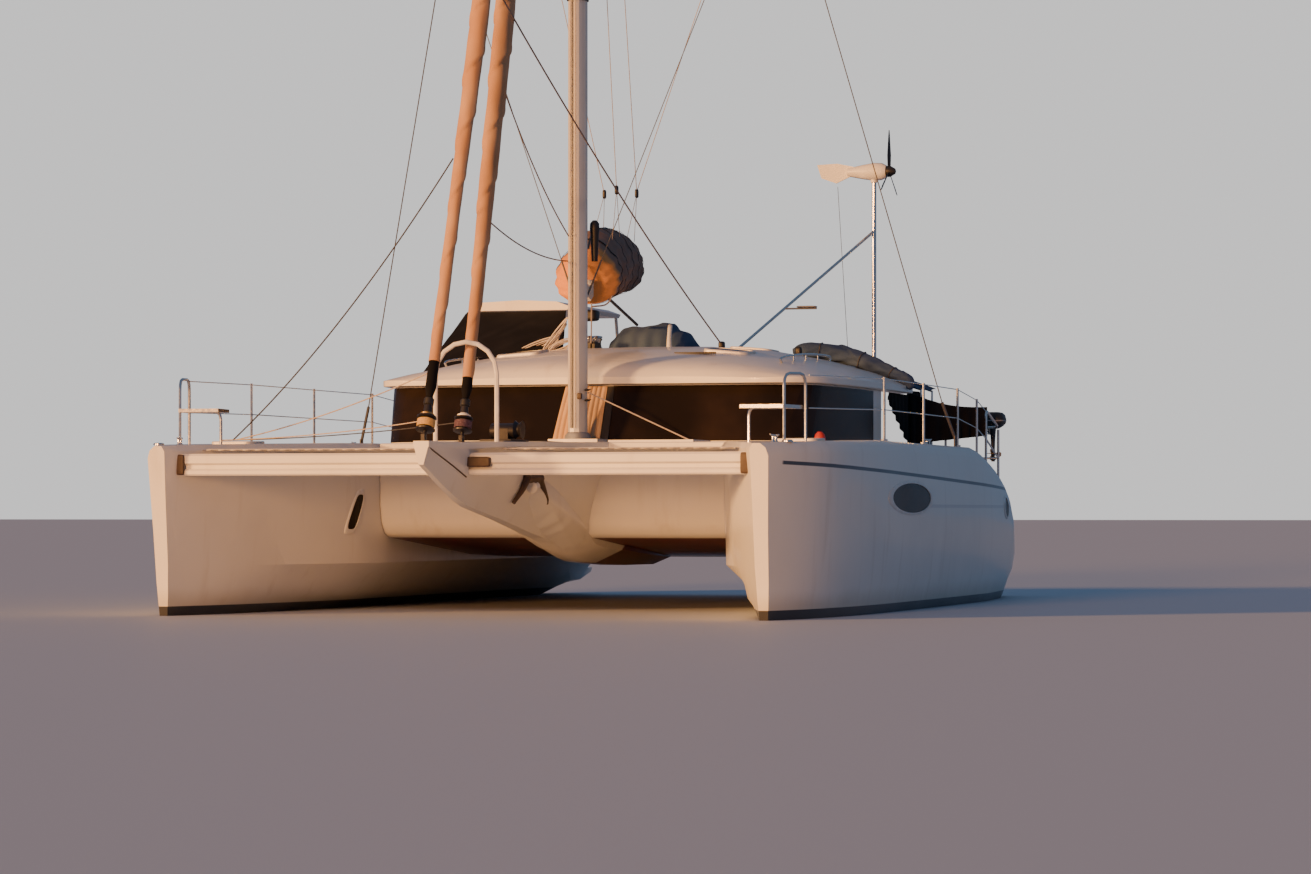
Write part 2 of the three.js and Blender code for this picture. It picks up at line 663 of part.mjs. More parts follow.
// The plan at a height, moved outwards by a distance, as a full outline from starboard aft to port aft
function planOutline(offset, height) {
  const lean = (FRONT_RAKE.foot * (WALL_TOP_Z - height)) / (WALL_TOP_Z - DECK_Z);
  const leaning = HOUSE_PLAN.map(([x, y]) => {
    const share = Math.min(Math.max((FRONT_RAKE.to - y) / (FRONT_RAKE.to - FRONT_RAKE.from), 0), 1);
    return [x, y - lean * share];
  });
  const half = leaning.map(([x, y], i) => {
    const before = leaning[Math.max(i - 1, 0)];
    const after = leaning[Math.min(i + 1, leaning.length - 1)];
    const along = new THREE.Vector2(after[0] - before[0], after[1] - before[1]).normalize();
    if (i === 0) return [0, aft(y - offset), height];
    if (i === leaning.length - 1) return [x + offset, aft(y), height];
    return [x + along.y * offset, aft(y) - along.x * offset, height];
  });
  const starboard = [...half].reverse().slice(0, -1).map(([x, y, z]) => [-x, y, z]);
  return [...starboard, ...half];
}

// The space inside the plan moved outwards by a distance
function houseCore(offset) {
  return loft([planOutline(offset, DECK_Z + GAP), planOutline(offset, WALL_TOP_Z)]);
}

// Sheet that follows the plan between two offsets
const houseShell = (outer, inner) => cut(houseCore(outer), houseCore(inner));

const FRONT_END = 4640; // where the front moulding ends and the side walls begin
const WINDOW = { low: 1655, high: 2150, pillar: 265, sideFront: 4800, sideBack: 6450, corner: 1880 };
const PANE = 9;

function houseRegion(x0, x1, from, to) {
  return block(x0, x1, aft(from), aft(to), 0, FAR);
}

const portWalls = houseShell(0, -WALL).intersect(houseRegion(0, FAR, -FAR, BULKHEAD_AFT));
const houseWalls = join(portWalls, mirrored(portWalls));

function cabinFront() {
  const front = houseWalls.intersect(houseRegion(-FAR, FAR, -FAR, FRONT_END - GAP / 2));
  const openings = [-1, 1].map((side) => {
    const [x0, x1] = [side * WINDOW.pillar, side * WINDOW.corner].sort((a, b) => a - b);
    return block(x0, x1, -FAR, aft(FRONT_END), WINDOW.low, WINDOW.high);
  });
  return cut(front, ...openings);
}

function cabinSidePort() {
  const side = houseWalls.intersect(houseRegion(0, FAR, FRONT_END + GAP / 2, BULKHEAD_AFT));
  return cut(side, block(0, FAR, aft(WINDOW.sideFront), aft(WINDOW.sideBack), WINDOW.low, WINDOW.high));
}

// One tinted pane a side, bent round the corner, on the outside of the walls and over their openings
function windowBandPort() {
  const sheet = houseShell(PANE + GAP, GAP);
  return sheet.intersect(block(
    WINDOW.pillar - 30, FAR, -FAR, aft(WINDOW.sideBack + 45), WINDOW.low - 25, WINDOW.high + 25,
  ));
}

// Deckhouse roof. at: aft of the stems, half: half width, edge: top of the edge, crown: top in the middle,
// ceiling: underside in the middle
const ROOF_TABLE = [
  { at: 4085, half: 1700, edge: 2238, crown: 2262, ceiling: WALL_TOP_Z },
  { at: 4125, half: 1960, edge: 2246, crown: 2320, ceiling: WALL_TOP_Z },
  { at: 4260, half: 2170, edge: 2250, crown: 2400, ceiling: WALL_TOP_Z },
  { at: 4420, half: 2250, edge: 2252, crown: 2445, ceiling: WALL_TOP_Z },
  { at: 5200, half: 2340, edge: 2258, crown: 2570, ceiling: 2480 },
  { at: 6400, half: 2390, edge: 2262, crown: 2650, ceiling: 2590 },
  { at: BULKHEAD_AFT, half: 2395, edge: 2262, crown: 2655, ceiling: 2595 },
  { at: ROOF_AFT, half: 2390, edge: 2262, crown: 2630, ceiling: 2570 },
];
const ROOF_STATIONS = [4085, 4125, 4180, 4260, 4420, 4750, 5200, 5800, 6400, BULKHEAD_AFT, 7500, ROOF_AFT];
const ROOF_STEPS = 12;
const ROOF_LIP = 170; // the underside is flat this far in from the edge

function roofTop(x, distance) {
  const [half, edge, crown] = ['half', 'edge', 'crown'].map((key) => between(ROOF_TABLE, key, distance));
  return edge + (crown - edge) * (1 - Math.min(Math.abs(x) / half, 1) ** 3);
}

function ceilingAt(x, distance) {
  const inner = between(ROOF_TABLE, 'half', distance) - ROOF_LIP;
  const rise = between(ROOF_TABLE, 'ceiling', distance) - WALL_TOP_Z;
  return WALL_TOP_Z + GAP + rise * (1 - Math.min(Math.abs(x) / inner, 1) ** 4);
}

// The helm is open to the sky, so the roof stops short there
const HELM_OPENING_X = -950;

function cabinRoof() {
  const rings = ROOF_STATIONS.map((station) => {
    const half = between(ROOF_TABLE, 'half', station);
    const inner = half - ROOF_LIP;
    const ring = [[half, aft(station), WALL_TOP_Z + GAP + 8], [half, aft(station), roofTop(half, station)]];
    for (let step = 1; step < ROOF_STEPS; step += 1) {
      const x = half * Math.cos((step * Math.PI) / ROOF_STEPS);
      ring.push([x, aft(station), roofTop(x, station)]);
    }
    ring.push([-half, aft(station), roofTop(half, station)], [-half, aft(station), WALL_TOP_Z + GAP + 8]);
    ring.push([-half + 8, aft(station), WALL_TOP_Z + GAP]);
    for (let step = 0; step <= ROOF_STEPS; step += 1) {
      const x = -inner * Math.cos((step * Math.PI) / ROOF_STEPS);
      ring.push([x, aft(station), ceilingAt(x, station)]);
    }
    ring.push([half - 8, aft(station), WALL_TOP_Z + GAP]);
    return ring;
  });
  const helmRoom = block(-FAR, HELM_OPENING_X, aft(BULKHEAD_AFT + 30), FAR, 0, FAR);
  return cut(loft(rings), helmRoom);
}

const roofSolid = cabinRoof();

// Saloon bulkhead with its doorway and two windows
const DOOR = { half: 470, low: SOLE_Z + 60, high: 2240 };
const BULKHEAD_WINDOW = { near: 700, far: 1640, low: 1280, high: 2080 };

function cabinAft() {
  const inside = HOUSE_HALF - WALL - 1;
  const intoRoof = 25;
  const top = [];
  for (let step = 0; step <= ROOF_STEPS; step += 1) {
    const x = inside * Math.cos((step * Math.PI) / ROOF_STEPS);
    top.push([ceilingAt(x, BULKHEAD_AFT) + intoRoof, x]);
  }
  const outline = [
    [SOLE_Z + GAP, BRIDGE_HALF - 1], [DECK_Z + GAP, BRIDGE_HALF - 1], [DECK_Z + GAP, inside], ...top,
    [DECK_Z + GAP, -inside], [DECK_Z + GAP, -BRIDGE_HALF + 1], [SOLE_Z + GAP, -BRIDGE_HALF + 1],
  ];
  const wall = prism('y', outline, aft(BULKHEAD_AFT - WALL), aft(BULKHEAD_AFT));
  const holes = [block(-DOOR.half, DOOR.half, -FAR, FAR, DOOR.low, DOOR.high)];
  for (const side of [-1, 1]) {
    const [x0, x1] = [side * BULKHEAD_WINDOW.near, side * BULKHEAD_WINDOW.far].sort((a, b) => a - b);
    holes.push(block(x0, x1, -FAR, FAR, BULKHEAD_WINDOW.low, BULKHEAD_WINDOW.high));
  }
  return join(cut(wall, ...holes, moved(roofSolid, 0, 0, -GAP)), doorRails());
}

// Sliding door on the cockpit side of the bulkhead, with a glass panel let in
const DOOR_RUN = 6;
function saloonDoor() {
  const front = BULKHEAD_AFT + DOOR_RUN;
  const [half, frame] = [DOOR.half + 35, 105];
  const panel = block(-half, half, aft(front), aft(front + 30), DOOR.low - 40, DOOR.high + 40);
  const glass = block(
    -half + frame, half - frame, aft(front + 20), aft(front + 40), DOOR.low + 120, DOOR.high - 90,
  );
  const hangers = [-330, 330].map((x) => block(
    x - 45, x + 45, aft(front + 3), aft(front + 27), DOOR.high + 30, DOOR.high + 46 - GAP,
  ));
  return join(cut(panel, glass), ...hangers);
}

// Top and bottom rails on the bulkhead that carry the door
function doorRails() {
  const y = [aft(BULKHEAD_AFT - 5), aft(BULKHEAD_AFT + 60)];
  const ends = [-DOOR.half - 60, DOOR.half + 960];
  const head = block(...ends, ...y, DOOR.high + 46, DOOR.high + 76);
  const sill = block(...ends, ...y, SOLE_Z + GAP, DOOR.low - 46);
  return join(head, sill);
}

// Saloon furniture, seen through the glass
const SETTEE = { half: 1690, front: 4760, back: 5300, armX: 1150, armBack: 6500, seatZ: 1240, backZ: 1560 };
function saloonSettee() {
  const { half, front, back, armX, armBack, seatZ, backZ } = SETTEE;
  const seat = block(-half, half, aft(front), aft(back), SOLE_Z + GAP, seatZ);
  const arm = block(armX, half, aft(back - 10), aft(armBack), SOLE_Z + GAP, seatZ);
  const backrest = block(-half, half, aft(front - 20), aft(front + 120), seatZ - 10, backZ);
  return join(seat, arm, backrest);
}

// Table top on round legs
function table({ x0, x1, from, to, z, thick }, legs, legRadius) {
  const top = block(x0, x1, aft(from), aft(to), z, z + thick);
  const posts = legs.map(([x, at]) => rod([x, aft(at), SOLE_Z + GAP], [x, aft(at), z + 10], legRadius, 12));
  return join(top, ...posts);
}

function saloonTable() {
  return table({ x0: -350, x1: 950, from: 5480, to: 6180, z: 1480, thick: 35 }, [[300, 5830]], 60);
}

// Boom fitting: pivot behind the mast axis, inner face of the lugs, clear reach round the pin, lug thickness
const GOOSENECK = { pivot: 240, lug: 48, web: 42, thick: 18 };

// Mast with its step, and the spreaders
const MAST_HALF = { across: 92, along: 128 };
function mast() {
  const ring = (z, scale) => {
    const points = [];
    for (let step = 0; step < 12; step += 1) {
      const angle = (step * Math.PI) / 6;
      const across = MAST_HALF.across * scale * Math.cos(angle);
      points.push([across, aft(MAST_AFT) + MAST_HALF.along * scale * Math.sin(angle), z]);
    }
    return points;
  };
  const spar = loft([ring(DECK_Z + 30, 1), ring(14600, 1), ring(MAST_TOP_Z, 0.72)]);
  const step = block(-250, 250, aft(MAST_AFT - 175), aft(MAST_AFT + 175), DECK_Z + GAP, DECK_Z + 45);
  const crane = block(-35, 35, aft(MAST_AFT - 190), aft(MAST_AFT + 260), MAST_TOP_Z - 60, MAST_TOP_Z + 20);
  const { pivot, lug, web, thick } = GOOSENECK;
  const neckBack = aft(MAST_AFT + pivot - web);
  const reach = lug + thick;
  const neck = block(-30, 30, aft(MAST_AFT + 110), neckBack, GOOSENECK_Z - reach, GOOSENECK_Z + reach);
  const lugs = [GOOSENECK_Z - reach, GOOSENECK_Z + lug].map((low) => block(
    -26, 26, neckBack - 8, aft(MAST_AFT + pivot + 26), low, low + thick,
  ));
  return join(spar, step, crane, neck, ...lugs, spreaders());
}

const SPREADERS = [
  { z: 6400, reach: 1400, sweep: 480 },
  { z: 10600, reach: 1150, sweep: 400 },
];
function spreaders() {
  const arms = SPREADERS.flatMap(({ z, reach, sweep }) => [-1, 1].map((side) => loft(
    [[MAST_HALF.across - 30, 40, 60, 0], [reach, 18, 30, sweep]].map(([x, tall, chord, back]) => [
      [side * x, aft(MAST_AFT + back - chord), z + back * 0.1],
      [side * x, aft(MAST_AFT + back), z + back * 0.1 + tall / 2],
      [side * x, aft(MAST_AFT + back + chord), z + back * 0.1],
      [side * x, aft(MAST_AFT + back), z + back * 0.1 - tall / 2],
    ]),
  )));
  return join(...arms);
}

const mastSolid = mast();

// Main stays: one cap shroud a side, on its chainplate
const CHAINPLATE_AFT = 6320;
function shroudPort() {
  const foot = gunwale(CHAINPLATE_AFT, 20);
  const plate = block(foot[0] - 6, foot[0] + 6, foot[1] - 40, foot[1] + 40, foot[2], foot[2] + 120);
  const head = [MAST_HALF.across - 10, aft(MAST_AFT), SHROUD_Z];
  const bottle = rod(raised(foot, 90), towards(foot, head, 480), 16, 8);
  const wire = rod(towards(foot, head, 400), head, 6, 6);
  return cut(seatedOn(join(plate, bottle, wire), hullPort), moved(mastSolid, GAP, 0, 0));
}

function towards(start, end, distance) {
  const a = new THREE.Vector3(...start);
  return a.add(new THREE.Vector3(...end).sub(a).setLength(distance)).toArray();
}

// Furled headsails: each turns round its own stay above a drum
const STAY_HEAD_Y = aft(MAST_AFT) - MAST_HALF.along + 10;
const STAYS = {
  outer: { tack: [0, aft(-690), 1550], head: [0, STAY_HEAD_Y, OUTER_STAY_Z], roll: 88 },
  inner: { tack: [0, aft(300), 1556], head: [0, STAY_HEAD_Y, INNER_STAY_Z], roll: 98 },
};
const DRUM_HEIGHT = 330;

function furledSail({ tack, head, roll }) {
  const length = new THREE.Vector3(...head).distanceTo(new THREE.Vector3(...tack));
  const along = (distance) => towards(tack, head, distance);
  const axis = new THREE.Vector3(...head).sub(new THREE.Vector3(...tack)).toArray();
  const profile = [
    [0, DRUM_HEIGHT + GAP], [30, DRUM_HEIGHT + GAP], [30, 640], [roll * 0.55, 740], [roll * 0.64, 2200],
    [roll * 0.95, 3900], [roll, 5400], [roll * 0.8, length * 0.62], [roll * 0.45, length * 0.9],
    [16, length * 0.95], [10, length - 2], [0, length - 2],
  ];
  return cut(turned(profile, along(0), axis, 12), moved(mastSolid, 0, -GAP, 0));
}

function furlerDrum({ tack, head }) {
  const axis = new THREE.Vector3(...head).sub(new THREE.Vector3(...tack)).toArray();
  const profile = [
    [0, 8], [18, 8], [18, 90], [85, 100], [88, 112], [52, 122], [52, 205], [88, 215], [85, 228], [40, 240],
    [34, DRUM_HEIGHT], [0, DRUM_HEIGHT],
  ];
  const clevis = block(-16, 16, tack[1] - 30, tack[1] + 40, tack[2] - SINK, tack[2] + 60);
  return seatedOn(join(turned(profile, tack, axis, 12), clevis), spineSolid);
}

// Boom at the gooseneck, swung to starboard, with the stacked mainsail in its bag on top
const BOOM_PIVOT = [0, aft(MAST_AFT + GOOSENECK.pivot), GOOSENECK_Z];
const BOOM_HALF = { across: 72, tall: 105 };

function swung(solid) {
  const lifted = turnedAt(solid, AXIS_X, BOOM_RISE_DEG, BOOM_PIVOT);
  return turnedAt(lifted, AXIS_Z, BOOM_REST_DEG, BOOM_PIVOT);
}

function boomBar(grow) {
  const [, y, z] = BOOM_PIVOT;
  const [across, tall] = [BOOM_HALF.across + grow, BOOM_HALF.tall + grow];
  const outline = [
    [-across * 0.6, -tall], [across * 0.6, -tall], [across, -tall * 0.5], [across, tall * 0.8],
    [across * 0.7, tall], [-across * 0.7, tall], [-across, tall * 0.8], [-across, -tall * 0.5],
  ];
  return swung(prism('y', outline.map(([x, up]) => [z + up, x]), y + 60 - grow, y + BOOM_LENGTH + grow));
}

function boom() {
  const [, y, z] = BOOM_PIVOT;
  const toggleHalf = GOOSENECK.lug - GAP;
  const toggle = turnedAt(
    block(-22, 22, y - 32, y + 80, z - toggleHalf, z + toggleHalf), AXIS_Z, BOOM_REST_DEG, BOOM_PIVOT,
  );
  return join(boomBar(0), toggle);
}

// The bag wraps the boom. from: along the boom, half: half width, low and high: from the boom's middle
const BAG_TABLE = [
  { from: 130, half: 190, low: -135, high: 250 },
  { from: 220, half: 300, low: -140, high: 360 },
  { from: 500, half: 335, low: -140, high: 470 },
  { from: 1000, half: 305, low: -135, high: 580 },
  { from: 2400, half: 295, low: -135, high: 570 },
  { from: 3800, half: 285, low: -135, high: 500 },
  { from: 4560, half: 230, low: -135, high: 390 },
  { from: 4780, half: 140, low: -135, high: 270 },
];
const BAG_SIDES = 16;
const BAG_FULLNESS = 0.8; // below 1 the flanks are flatter than an ellipse
function sailBag() {
  const [, y, z] = BOOM_PIVOT;
  const rings = BAG_TABLE.map(({ from, half, low, high }) => {
    const ring = [];
    for (let step = 0; step < BAG_SIDES; step += 1) {
      const angle = (step * 2 * Math.PI) / BAG_SIDES;
      const level = (Math.sin(angle) + 1) / 2;
      const wide = Math.sign(Math.cos(angle)) * Math.abs(Math.cos(angle)) ** BAG_FULLNESS;
      ring.push([half * wide * (1 - 0.35 * level ** 3), y + from, z + low + (high - low) * level]);
    }
    return ring;
  });
  return cut(swung(loft(rings)), boomBar(GAP));
}

// Raised helm on the starboard side, behind the bulkhead
const HELM_FLOOR_Z = 1250;
const CONSOLE = { x0: -1740, x1: -1110, from: BULKHEAD_AFT + 70, to: BULKHEAD_AFT + 330, top: 2150 };
const WHEEL = { x: -1430, at: CONSOLE.to + 95, z: 1960, radius: 350, hub: 40 };

function helmConsole() {
  const podium = block(-BRIDGE_HALF + 1, -960, aft(CONSOLE.from), aft(8900), SOLE_Z + GAP, HELM_FLOOR_Z);
  const pod = prism('x', [
    [aft(CONSOLE.from), HELM_FLOOR_Z - 10], [aft(CONSOLE.to), HELM_FLOOR_Z - 10],
    [aft(CONSOLE.to), CONSOLE.top - 160], [aft(CONSOLE.to - 90), CONSOLE.top],
    [aft(CONSOLE.from), CONSOLE.top],
  ], CONSOLE.x0, CONSOLE.x1);
  const hubFront = aft(WHEEL.at) - WHEEL.hub - GAP;
  const column = rod([WHEEL.x, aft(CONSOLE.to) - 20, WHEEL.z], [WHEEL.x, hubFront, WHEEL.z], 45, 12);
  return join(podium, pod, column);
}

function helmWheel() {
  const centre = [WHEEL.x, aft(WHEEL.at), WHEEL.z];
  const [x, y, z] = centre;
  const hub = rod([x, y - WHEEL.hub, z], [x, y + 30, z], 50, 12);
  const rimProfile = [];
  for (let step = 0; step <= 6; step += 1) {
    const angle = (step * Math.PI) / 3;
    rimProfile.push([WHEEL.radius + 16 * Math.cos(angle), 16 * Math.sin(angle)]);
  }
  const rim = turned(rimProfile, centre, [0, 1, 0], 24);
  const spokes = [0, 1, 2, 3, 4].map((i) => {
    const angle = (i * 2 * Math.PI) / 5 + Math.PI / 2;
    return rod(centre, [x + WHEEL.radius * Math.cos(angle), y, z + WHEEL.radius * Math.sin(angle)], 9, 6);
  });
  return join(hub, rim, ...spokes);
}

const SEAT = { x0: -1700, x1: -1120, from: 8220, to: 8780, low: 1690, high: 1790, backTop: 2180 };
function helmSeat() {
  const { x0, x1, from, to, low, high, backTop } = SEAT;
  const base = block(x0 + 10, x1 - 20, aft(from + 30), aft(to - 20), HELM_FLOOR_Z + GAP, low + 10);
  const cushion = block(x0, x1, aft(from), aft(to), low, high);
  const back = block(x0, x1, aft(to - 40), aft(to + 50), high - 10, backTop);
  return join(base, cushion, back);
}

// Hard top over the helm on four posts
const TOP = { x0: -2200, x1: -1130, from: 7000, to: 8900, z: 3080 };
function helmTop() {
  const { x0, x1, from, to, z } = TOP;
  const panel = prism('y', [
    [z, x0], [z + 40, x0 - 20], [z + 90, x0 + 120], [z + 110, (x0 + x1) / 2], [z + 90, x1 - 120],
    [z + 40, x1 + 20], [z, x1],
  ].reverse(), aft(from), aft(to));
  const postX = { inner: -1000, outer: x0 + 40, top: x1 - 20 };
  const posts = [from + 275, to - 60].flatMap((distance) => {
    const deck = between(HULL_TABLE, 'deck', distance) - SINK;
    return [
      rod([postX.outer, aft(distance), deck], [postX.outer, aft(distance), z + 20], 18, 8),
      rod([postX.inner, aft(distance), HELM_FLOOR_Z - SINK], [postX.top, aft(distance), z + 20], 18, 8),
    ];
  });
  return seatedOn(join(panel, ...posts), hullStarboard, helmConsole());
}

// Thin sheet between corner points, thickened by a shift
function sheet(corners, shift) {
  return loft([corners, corners.map(([x, y, z]) => [x + shift[0], y + shift[1], z + shift[2]])]);
}

function helmWindscreen() {
  const lift = -8;
  const topLeft = [-2235, aft(6960), 3070];
  const topRight = [-1130, aft(6960), 3070];
  const low = (x, distance) => [x, aft(distance), roofTop(x, distance) + lift];
  const front = sheet([topLeft, topRight, low(-950, 6280), low(-1700, 5900), low(-2255, 5450)], [0, 22, 8]);
  const side = sheet([topLeft, low(-2255, 5450), low(-2290, 6850)], [18, 0, 4]);
  return seatedOn(join(front, side), roofSolid);
}

// Canvas canopy over the cockpit and its frame
const CANOPY = { from: ROOF_AFT + 40, to: 9300, inner: -880, outer: 2360 };
function canopyTop(x) {
  const span = Math.abs(x - 300) / (CANOPY.outer - 300);
  return 2280 + 320 * (1 - Math.min(span, 1) ** 2.6);
}

function cockpitCanopy() {
  const steps = 10;
  const rows = [];
  for (let step = 0; step <= steps; step += 1) {
    const x = CANOPY.inner + ((CANOPY.outer - CANOPY.inner) * step) / steps;
    rows.push([x, canopyTop(x)]);
  }
  const outline = [...rows.map(([x, z]) => [z, x]), ...[...rows].reverse().map(([x, z]) => [z - 26, x])];
  return prism('y', outline.reverse(), aft(CANOPY.from), aft(CANOPY.to));
}

function canopyFrame() {
  const drop = 26 + GAP + 14;
  const hoops = [CANOPY.from + 90, (CANOPY.from + CANOPY.to) / 2, CANOPY.to - 60].map((distance) => {
    const foot = between(HULL_TABLE, 'deck', distance) - SINK;
    const arch = [];
    for (let step = 1; step <= 7; step += 1) {
      const x = CANOPY.outer - 30 + ((CANOPY.inner - CANOPY.outer + 60) * step) / 7;
      arch.push([x, aft(distance), canopyTop(x) - drop]);
    }
    const start = [CANOPY.outer - 30, aft(distance), canopyTop(CANOPY.outer - 30) - drop];
    return pipe([[CANOPY.outer - 40, aft(distance), foot], start, ...arch], 14, 6);
  });
  const postX = CANOPY.inner + 32;
  const postTop = canopyTop(postX) - drop;
  const ends = [CANOPY.from + 90, CANOPY.to - 60];
  const edge = rod([postX, aft(ends[0]), postTop], [postX, aft(ends[1]), postTop], 14, 6);
  const posts = ends.map((distance) => rod(
    [postX, aft(distance), SOLE_Z + GAP], [postX, aft(distance), postTop], 14, 6,
  ));
  return cut(seatedOn(join(...hoops, edge, ...posts), hullPort), moved(cockpitCanopy(), 0, 0, -GAP));
}

// Rolled canvas across the port side of the roof
function canvasRoll() {
  const points = [1150, 1450, 1750, 2000, 2180, 2300];
  const sizes = [60, 105, 115, 95, 75, 45];
  return loft(points.map((x, i) => {
    const centre = roofTop(x, 7850) + sizes[i] * 0.78 + 1;
    const ring = [];
    for (let step = 0; step < 10; step += 1) {
      const angle = (step * Math.PI) / 5;
      const up = Math.max(Math.sin(angle), -0.74);
      ring.push([x, aft(7800) + 1.3 * sizes[i] * Math.cos(angle), centre + sizes[i] * up]);
    }
    return ring;
  }));
}

// Canvas hood on the roof beside the helm. x, and its height above the roof there
const HOOD_ROWS = [[-600, 130], [-500, 240], [-100, 290], [20, 280], [60, 215], [170, 190], [225, 90]];
const HOOD = { front: 6750, back: 7450, sunk: 40 };
function roofHood() {
  const centre = aft((HOOD.front + HOOD.back) / 2);
  const half = (HOOD.back - HOOD.front) / 2;
  const base = between(ROOF_TABLE, 'crown', HOOD.front) - HOOD.sunk;
  const rings = HOOD_ROWS.map(([x, height]) => {
    const ring = [];
    for (let step = 0; step <= 8; step += 1) {
      const angle = (step * Math.PI) / 8;
      ring.push([x, centre - half * Math.cos(angle), base + (height + HOOD.sunk) * Math.sin(angle)]);
    }
    return ring;
  });
  return seatedOn(loft(rings), roofSolid);
}

// Dark shade cloth hung along the port side of the cockpit
function shadeCloth() {
  const x = CANOPY.outer - 48;
  const outline = [
    [8080, 1640], [7090, 2120], [7150, 2180], [8010, 2180], [8080, 2225], [8600, 2232], [9000, 2150],
    [9270, 2110], [9270, 1640],
  ].map(([distance, z]) => [aft(distance), z]).reverse();
  return cut(prism('x', outline, x - 12, x), moved(canopyFrame(), -GAP, 0, 0));
}

// Cockpit bench and table
const COCKPIT_SEAT = { inner: 1150, sideFront: 7500, crossX: -800, crossFront: 9060, z: 1230 };
function cockpitSeats() {
  const { inner, sideFront, crossX, crossFront, z } = COCKPIT_SEAT;
  const side = block(inner, BRIDGE_HALF - 1, aft(sideFront), aft(BENCH_AFT) - GAP, SOLE_Z + GAP, z);
  const cross = block(crossX, inner + 10, aft(crossFront), aft(BENCH_AFT) - GAP, SOLE_Z + GAP, z);
  return join(side, cross);
}

function cockpitTable() {
  const top = { x0: -250, x1: 950, from: 7900, to: 8700, z: 1490, thick: 35 };
  return table(top, [[350, 8100], [350, 8500]], 55);
}

// Wind generator on its pole at the stern, with a strut to the deckhouse roof
const POLE = { x: 1530, at: 9900, top: 4600, stay: 4060 };
function windPole() {
  const pole = rod([POLE.x, aft(POLE.at), BENCH_Z + GAP], [POLE.x, aft(POLE.at), POLE.top], 25, 10);
  const foot = [450, aft(ROOF_AFT - 60)];
  const seat = roofTop(foot[0], ROOF_AFT - 60);
  const strut = rod([...foot, seat + 25], [POLE.x, aft(POLE.at), POLE.stay], 16, 8);
  const pad = block(foot[0] - 45, foot[0] + 45, foot[1] - 45, foot[1] + 45, seat - SINK, seat + 22);
  return seatedOn(join(pole, strut, pad), roofSolid);
}

const WIND = { z: POLE.top + 120, radius: 460, front: 140 };
function windHead() {
  const collar = rod([POLE.x, aft(POLE.at), POLE.top + GAP], [POLE.x, aft(POLE.at), POLE.top + 70], 38, 10);
  const body = turned(
    [[0, -WIND.front], [70, -WIND.front], [95, -90], [100, 0], [80, 130], [45, 300], [0, 320]],
    [POLE.x, aft(POLE.at), WIND.z], WIND_AXIS, 12,
  );
  const nose = POLE.x + WIND.front;
  const shaft = rod([nose - 20, aft(POLE.at), WIND.z], [nose + 6 - GAP, aft(POLE.at), WIND.z], 22, 12);
  return join(collar, body, shaft, windTail());
}

// The head points to port, into the evening breeze
const WIND_AXIS = [-1, 0, 0];
function windTail() {
  return prism('y', [
    [-30, -230], [-120, -430], [-60, -600], [90, -650], [100, -420], [60, -230],
  ].map(([up, across]) => [WIND.z + up, POLE.x + across]), aft(POLE.at) - 9, aft(POLE.at) + 9);
}

function windRotor() {
  const hubX = POLE.x + WIND.front + 6;
  const hubProfile = [[0, 0], [62, 0], [62, 40], [30, 95], [0, 105]];
  const hub = turned(hubProfile, [hubX, aft(POLE.at), WIND.z], [1, 0, 0], 12);
  const rows = [
    { out: 40, half: 26, twist: 30 },
    { out: 180, half: 42, twist: 18 },
    { out: 400, half: 26, twist: 8 },
    { out: WIND.radius, half: 12, twist: 4 },
  ];
  const centre = [hubX + 25, aft(POLE.at), WIND.z];
  const oneBlade = loft(rows.map(({ out, half, twist }) => {
    const turn = THREE.MathUtils.degToRad(twist);
    const corner = (u, v) => [
      centre[0] + u * Math.sin(turn) + v * Math.cos(turn),
      centre[1] + u * Math.cos(turn) - v * Math.sin(turn),
      centre[2] + out,
    ];
    return [corner(-half, 0), corner(0, -5), corner(half, 0), corner(0, 5)];
  }));
  const blades = [0, 1, 2].map((i) => turnedAt(oneBlade, AXIS_X, i * 120, centre));
  return join(hub, ...blades);
}

// Small outboard motor clamped to the port stern rail
function outboard() {
  const [cornerX, railY, deckZ] = gunwale(STERN_RAIL.back);
  const railZ = deckZ + RAIL_HEIGHT + 60;
  const x = cornerX - 90;
  const y = railY + TUBE + 70;
  const cowl = block(x - 130, x + 130, y - 20, y + 300, railZ - 10, railZ + 170);
  const leg = block(x - 40, x + 40, y + 20, y + 130, railZ - 350, railZ);
  const foot = block(x - 25, x + 25, y, y + 190, railZ - 370, railZ - 300);
  const clamp = block(x - 100, x - 30, railY + TUBE + GAP, y + 60, railZ - 60, railZ + 30);
  return join(cowl, leg, foot, clamp);
}

// Lids of the foredeck lockers, hinged at their aft edge
function lockerLid(side) {
  const [x0, x1] = [side * (LOCKER.near - 30), side * (LOCKER.far + 30)].sort((a, b) => a - b);
  const lid = block(x0, x1, aft(LOCKER.front - 30), aft(LOCKER.back + 20), DECK_Z + GAP, DECK_Z + 24);
  const [pinY, pinZ] = [aft(LOCKER.back + 28), DECK_Z + 13];
  const pin = rod([x0 + 120, pinY, pinZ], [x1 - 120, pinY, pinZ], 12, 8);
  return join(lid, pin);
}

// Anchor windlass on the spine
const WINDLASS_AFT = 1500;
function anchorWindlass() {
  const y = aft(WINDLASS_AFT);
  const z = between(SPINE_TABLE, 'top', WINDLASS_AFT) + 4;
  const plate = block(-150, 150, y - 260, y + 260, z, z + 18);
  const drum = rod([-120, y, z + 95], [120, y, z + 95], 70, 12);
  const motor = block(-60, 60, y - 70, y + 150, z + 10, z + 120);
  return join(plate, drum, motor);
}

